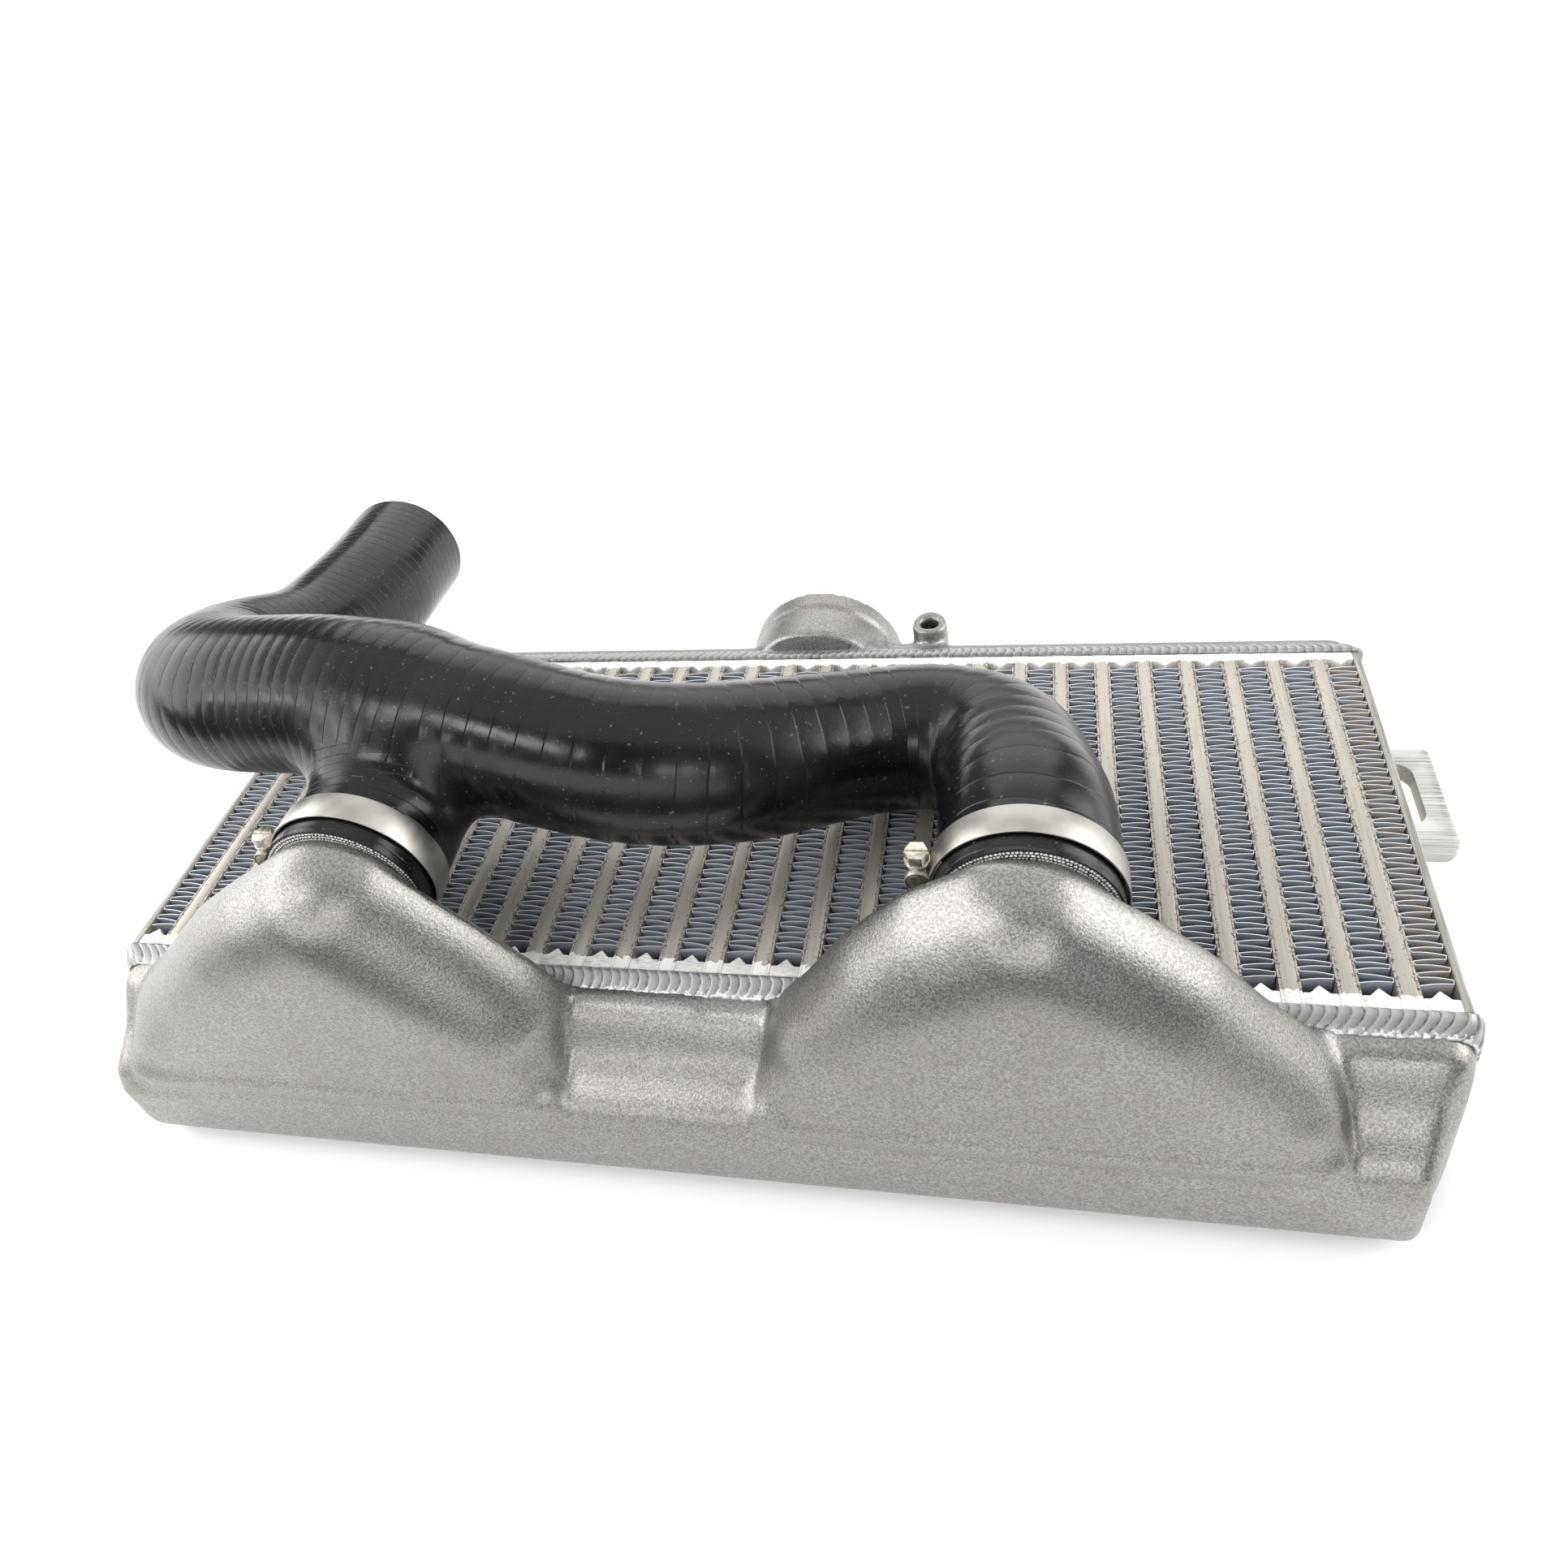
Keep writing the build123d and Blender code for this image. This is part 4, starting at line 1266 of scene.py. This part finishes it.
@dataclass
class Hose:
    """The moulded Y hose: a wrapped outer face with soft crotches, and a plain bore."""

    plan: Frame
    wall: float = 4.5 * MM
    voxel: float = 1.35 * MM
    crotch: float = 15 * MM
    wide_pitch: float = 9.6 * MM
    close_pitch: float = 5.2 * MM
    close_from: float = 330 * MM
    close_by: float = 372 * MM
    ridge: float = 0.16 * MM
    tail_from: float = 450 * MM
    tail_fade: float = 40 * MM
    tail_loss: float = 0.8
    groove_shape: float = 0.8
    outer_sides: int = 48
    bore_sides: int = 40
    fits: int = 5
    stride: float = 2 * MM
    least_slope: float = 0.15
    branch_fade: float = 8 * MM
    right_x: float = 114.5
    left_x: float = -124.5
    cut: float = 7.3 * MM

    def routes(self) -> tuple[Route, Route]:
        """The centre lines of the main hose and of its left leg."""
        r, l = self.right_x, self.left_x
        main = [
            Corner(r, -7.3, 50, 30), Corner(r, 30, 50, 30, 46), Corner(r - 11, 92, 31, 28.3, 30),
            Corner(r - 53, 90, 32, 28.3, 50), Corner(r - 132, 44, 57, 30.15, 110),
            Corner(l - 26, 66, 78, 32, 150), Corner(l - 122, 71, 74, 32, 38),
            Corner(l - 95, 137, 42, 31, 60), Corner(l - 93, 189, 36, 30.5, 100),
            Corner(l - 97, 235, 31, 30.5)]
        branch = [Corner(l, -7.3, 50, 30), Corner(l, 30, 50, 30, 60), Corner(l - 2, 62, 64, 29)]
        return Route(self.plan, main), Route(self.plan, branch)

    def turns(self, along: np.ndarray) -> np.ndarray:
        """How many turns of tape lie before each distance along the main hose."""
        knots = np.array([0.0, self.close_from, self.close_by, 2.0])
        middle = (self.close_by - self.close_from) * (1 / self.wide_pitch + 1 / self.close_pitch) / 2
        first = self.close_from / self.wide_pitch
        last = first + middle + (knots[3] - self.close_by) / self.close_pitch
        return np.interp(along, knots, [0.0, first, first + middle, last])

    def outer(self, main: Tube, branch: Tube) -> Piece:
        """The outer face, drawn onto the blend of both tubes and closed across its ends."""
        skins = [main.skin("y_hose_moulded", 0, self.outer_sides), branch.skin("leg", 0, self.outer_sides)]
        hose = join(skins, "y_hose_moulded")
        modify(hose, "REMESH", mode="VOXEL", voxel_size=self.voxel)
        modify(hose, "SMOOTH", factor=0.5, iterations=6)
        places = points_of(hose)
        for _ in range(self.fits):
            far_m, out_m, along_m, radius_m = main.nearest(places)
            far_b, out_b, _, radius_b = branch.nearest(places)
            faint = 1 - self.tail_loss * np.clip((along_m - self.tail_from) / self.tail_fade, 0, 1)
            lap = np.abs(np.sin(np.pi * self.turns(along_m))) ** self.groove_shape
            groove = self.ridge * faint * (1 - lap)
            gap_m = far_m - radius_m + groove
            gap_b = far_b - radius_b
            mix = np.clip(1 - np.abs(gap_m - gap_b) / self.crotch, 0, 1)
            gap = np.minimum(gap_m, gap_b) - mix ** 2 * self.crotch / 4
            share_b = np.where(gap_m < gap_b, mix / 2, 1 - mix / 2)
            slope = out_m * (1 - share_b)[:, None] + out_b * share_b[:, None]
            steep = np.maximum((slope ** 2).sum(1), self.least_slope)
            places = places - slope * (np.clip(gap, -self.stride, self.stride) / steep)[:, None]
        place_points(hose, places)
        return hose

    def cap(self, hose: Piece, place: Vector, outward: Vector) -> None:
        """Cut an end off square and close it."""
        take(hose)
        bpy.ops.object.mode_set(mode="EDIT")
        bpy.ops.mesh.select_all(action="SELECT")
        bpy.ops.mesh.bisect(
            plane_co=place, plane_no=outward, use_fill=True, clear_outer=True, clear_inner=False)
        bpy.ops.object.mode_set(mode="OBJECT")

    def build(self) -> None:
        """Make the hose."""
        main_route, branch_route = self.routes()
        main, branch = Tube(*main_route.sample()), Tube(*branch_route.sample())
        hose = self.outer(main, branch)
        ends = [
            (Vector((0, self.plan.front - self.cut, 0)), Vector((0, -1, 0))),
            (Vector(main.points[-1]), Vector(main.points[-1] - main.points[-3]).normalized())]
        ends[1] = (ends[1][0] - ends[1][1] * main_route.tail, ends[1][1])
        for place, outward in ends:
            self.cap(hose, place, outward)
        for tube, name in ((main, "bore"), (branch, "side_bore")):
            cutter = tube.skin(name, self.wall, self.bore_sides)
            modify(hose, "BOOLEAN", operation="DIFFERENCE", solver="EXACT", object=cutter)
            bpy.data.objects.remove(cutter)
        places = points_of(hose)
        far_m, _, along_m, radius_m = main.nearest(places)
        far_b, _, along_b, radius_b = branch.nearest(places)
        store(hose, "turns_main", self.turns(along_m))
        store(hose, "turns_branch", along_b / self.close_pitch)
        gap = (far_m - radius_m) - (far_b - radius_b)
        store(hose, "branch", np.clip(0.5 + gap / self.branch_fade, 0, 1))
        necks = [self.plan.neck(side) for side in Side]
        tail = ends[1][0]
        tail_turn = ends[1][1].to_track_quat("Y", "Z").to_euler()
        dress(hose, WrappedSilicone().make(),
              *[CutSilicone(tuple(neck)).make() for neck in necks],
              CutSilicone(tuple(tail), tuple(tail_turn)).make())
        self.paint_ends(hose, necks, ends)
        smooth(hose, 40)
        hand_over(hose, "silicone", "y_hose")

    def paint_ends(self, hose: Piece, necks: list[Vector], ends: list[tuple[Vector, Vector]]) -> None:
        """Give the cut faces their own materials."""
        for polygon in hose.data.polygons:
            for place, outward in ends:
                flat = polygon.normal.dot(outward) > 0.95
                if flat and abs((polygon.center - place).dot(outward)) < 0.2 * MM:
                    if outward.y > 0:
                        polygon.material_index = 3
                    else:
                        near = min(range(2), key=lambda i: abs(polygon.center.x - necks[i].x))
                        polygon.material_index = 1 + near


# ---------------------------------------------------------------- clamps and bracket
@dataclass
class Clamps:
    """The two single-bolt band clamps."""

    strip_edge: float = 0.2 * MM
    pin_edge: float = 0.35 * MM
    head_edge: float = 0.3 * MM

    def build(self) -> None:
        """Make both clamps."""
        steel, zinc = PolishedStrip().make(), ZincPlate().make()
        parts = (
            ("band", self.strip_edge, steel, "stainless_band"),
            ("bridge", self.strip_edge / 2, steel, "stainless_band"),
            ("trunnion", self.pin_edge, zinc, "zinc_steel"), ("nut", self.pin_edge, zinc, "zinc_steel"),
            ("screw", self.head_edge, zinc, "zinc_steel"))
        for side in Side:
            for part, edge, metal, slot in parts:
                node = f"{side.name.lower()}_clamp_{part}"
                break_edges(node, node + "_dressed", edge, 40, metal, slot)


@dataclass
class Bracket:
    """The milled bracket on the right side plate."""

    edge: float = 0.45 * MM

    def build(self) -> None:
        """Make the bracket with its edges broken."""
        plate = MilledPlate().make()
        break_edges("mounting_bracket", "mounting_bracket_milled", self.edge, 30, plate, "milled_aluminium")


# ---------------------------------------------------------------- studio
@dataclass
class Studio:
    """Camera, floor and soft lights."""

    eye: Triple = (0.12806, -0.32878, 0.42784)
    right: Triple = (0.97193, 0.17115, -0.16142)
    down: Triple = (-0.02268, -0.61480, -0.78836)
    forward: Triple = (-0.23417, 0.76989, -0.59366)
    sensor: float = 36.0
    focal: float = 1439.3 / 1932
    rise: float = -216 / 1932
    floor_size: float = 16.0
    floor_edge: float = 0.285
    floor: str = "#F7F7F6"
    room: float = 0.22

    def camera(self) -> None:
        """Stand the camera where the view is taken from."""
        data = bpy.data.cameras.new("view")
        camera = into_scene("view", data)
        turn = Matrix((Vector(self.right), -Vector(self.down), -Vector(self.forward))).transposed()
        camera.matrix_world = Matrix.Translation(self.eye) @ turn.to_4x4()
        data.sensor_width = self.sensor
        data.lens = self.sensor * self.focal
        data.shift_y = self.rise
        data.clip_start = 0.01
        data.clip_end = 60
        bpy.context.scene.camera = camera

    def ground(self) -> None:
        """Lay the pale floor under the core: a table top whose near edge lies just out of view."""
        rest()
        middle = self.floor_size / 2 - self.floor_edge
        bpy.ops.mesh.primitive_plane_add(size=self.floor_size, location=(0, middle, -0.2 * MM))
        floor = bpy.context.object
        floor.name = "studio_floor"
        settle(floor)
        coat = Coat("matt_white_floor")
        coat.link("Base Color", coat.blend(coat.grain(0.4, 2.0), self.floor, "#F0F0EF"))
        coat.set(Roughness=0.85, IOR=1.0)
        dress(floor, coat.material)

    def lamp(self, name: str, place: Triple, aim: Triple,
             size: tuple[float, float], power: float) -> Piece:
        """Hang one rectangular soft light.

        Args:
            name: Its name.
            place: Where it hangs.
            aim: The point that it faces.
            size: Its width and height.
            power: Its power in watts.

        Returns:
            The light.
        """
        data = bpy.data.lights.new(name, "AREA")
        data.shape = "RECTANGLE"
        data.size, data.size_y = size
        data.energy = power
        lamp = into_scene(name, data)
        lamp.location = place
        lamp.rotation_euler = (Vector(aim) - Vector(place)).to_track_quat("-Z", "Y").to_euler()
        return lamp

    def lights(self) -> None:
        """Light the room softly from above, with windows behind the camera."""
        world = bpy.data.worlds.new("room")
        bpy.context.scene.world = world
        world.use_nodes = True
        background = world.node_tree.nodes["Background"]
        background.inputs["Color"].default_value = colour("#FFFFFF")
        background.inputs["Strength"].default_value = self.room
        lamps = (
            ("ceiling", (0.0, 0.3, 2.2), (0, 0.3, 0), (4.8, 2.2), 30),
            ("left_screen", (-3.0, -0.1, 1.45), (0, -0.1, 0.4), (4.4, 2.5), 120),
            ("right_screen", (3.2, 0.8, 1.45), (0, 0, 0.4), (3.8, 2.4), 118),
            ("front_screen", (-0.3, -3.2, 0.85), (0, 0, 0.1), (4.6, 1.4), 44),
            ("back_screen", (-0.2, 3.6, 2.2), (0, 0, 0.3), (4.4, 3.0), 76),
            ("broad_window", (-0.92, -1.36, 1.89), (0, 0, 0.1), (0.8, 0.35), 11),
            ("side_window", (0.75, -1.9, 1.45), (0, 0, 0.1), (0.5, 0.35), 7),
            ("left_window", (-1.5, -1.35, 1.1), (0, 0, 0.1), (0.45, 0.3), 4),
        )
        for lamp in lamps:
            self.lamp(*lamp)
        fills = (
            self.lamp("floor_fill", (-1.5, 3.0, 4.0), (-1.5, 3.0, 0), (16, 16), 230),
            self.lamp("far_fill", (-4.6, 4.6, 2.5), (-4.6, 4.6, 0), (4.5, 4.5), 200))
        for fill in fills:
            fill.visible_glossy = False

    def build(self) -> None:
        """Set the whole studio up."""
        bpy.context.scene.view_settings.view_transform = "Standard"
        self.camera()
        self.ground()
        self.lights()


# ---------------------------------------------------------------- the whole object
def main() -> None:
    """Build every sub-assembly in order."""
    logging.basicConfig(level=logging.INFO, format="%(message)s")
    plan = Frame.read()
    Studio().build()
    Core(plan).build()
    AirFins(plan).build()
    WeldBeads(plan).build()
    Castings(plan).build()
    Hose(plan).build()
    Clamps().build()
    Bracket().build()
    foil = FoldedFoil(plan).make()
    dress(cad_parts["turbulator_fins"], foil)
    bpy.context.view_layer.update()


if __name__ == "__main__":
    main()
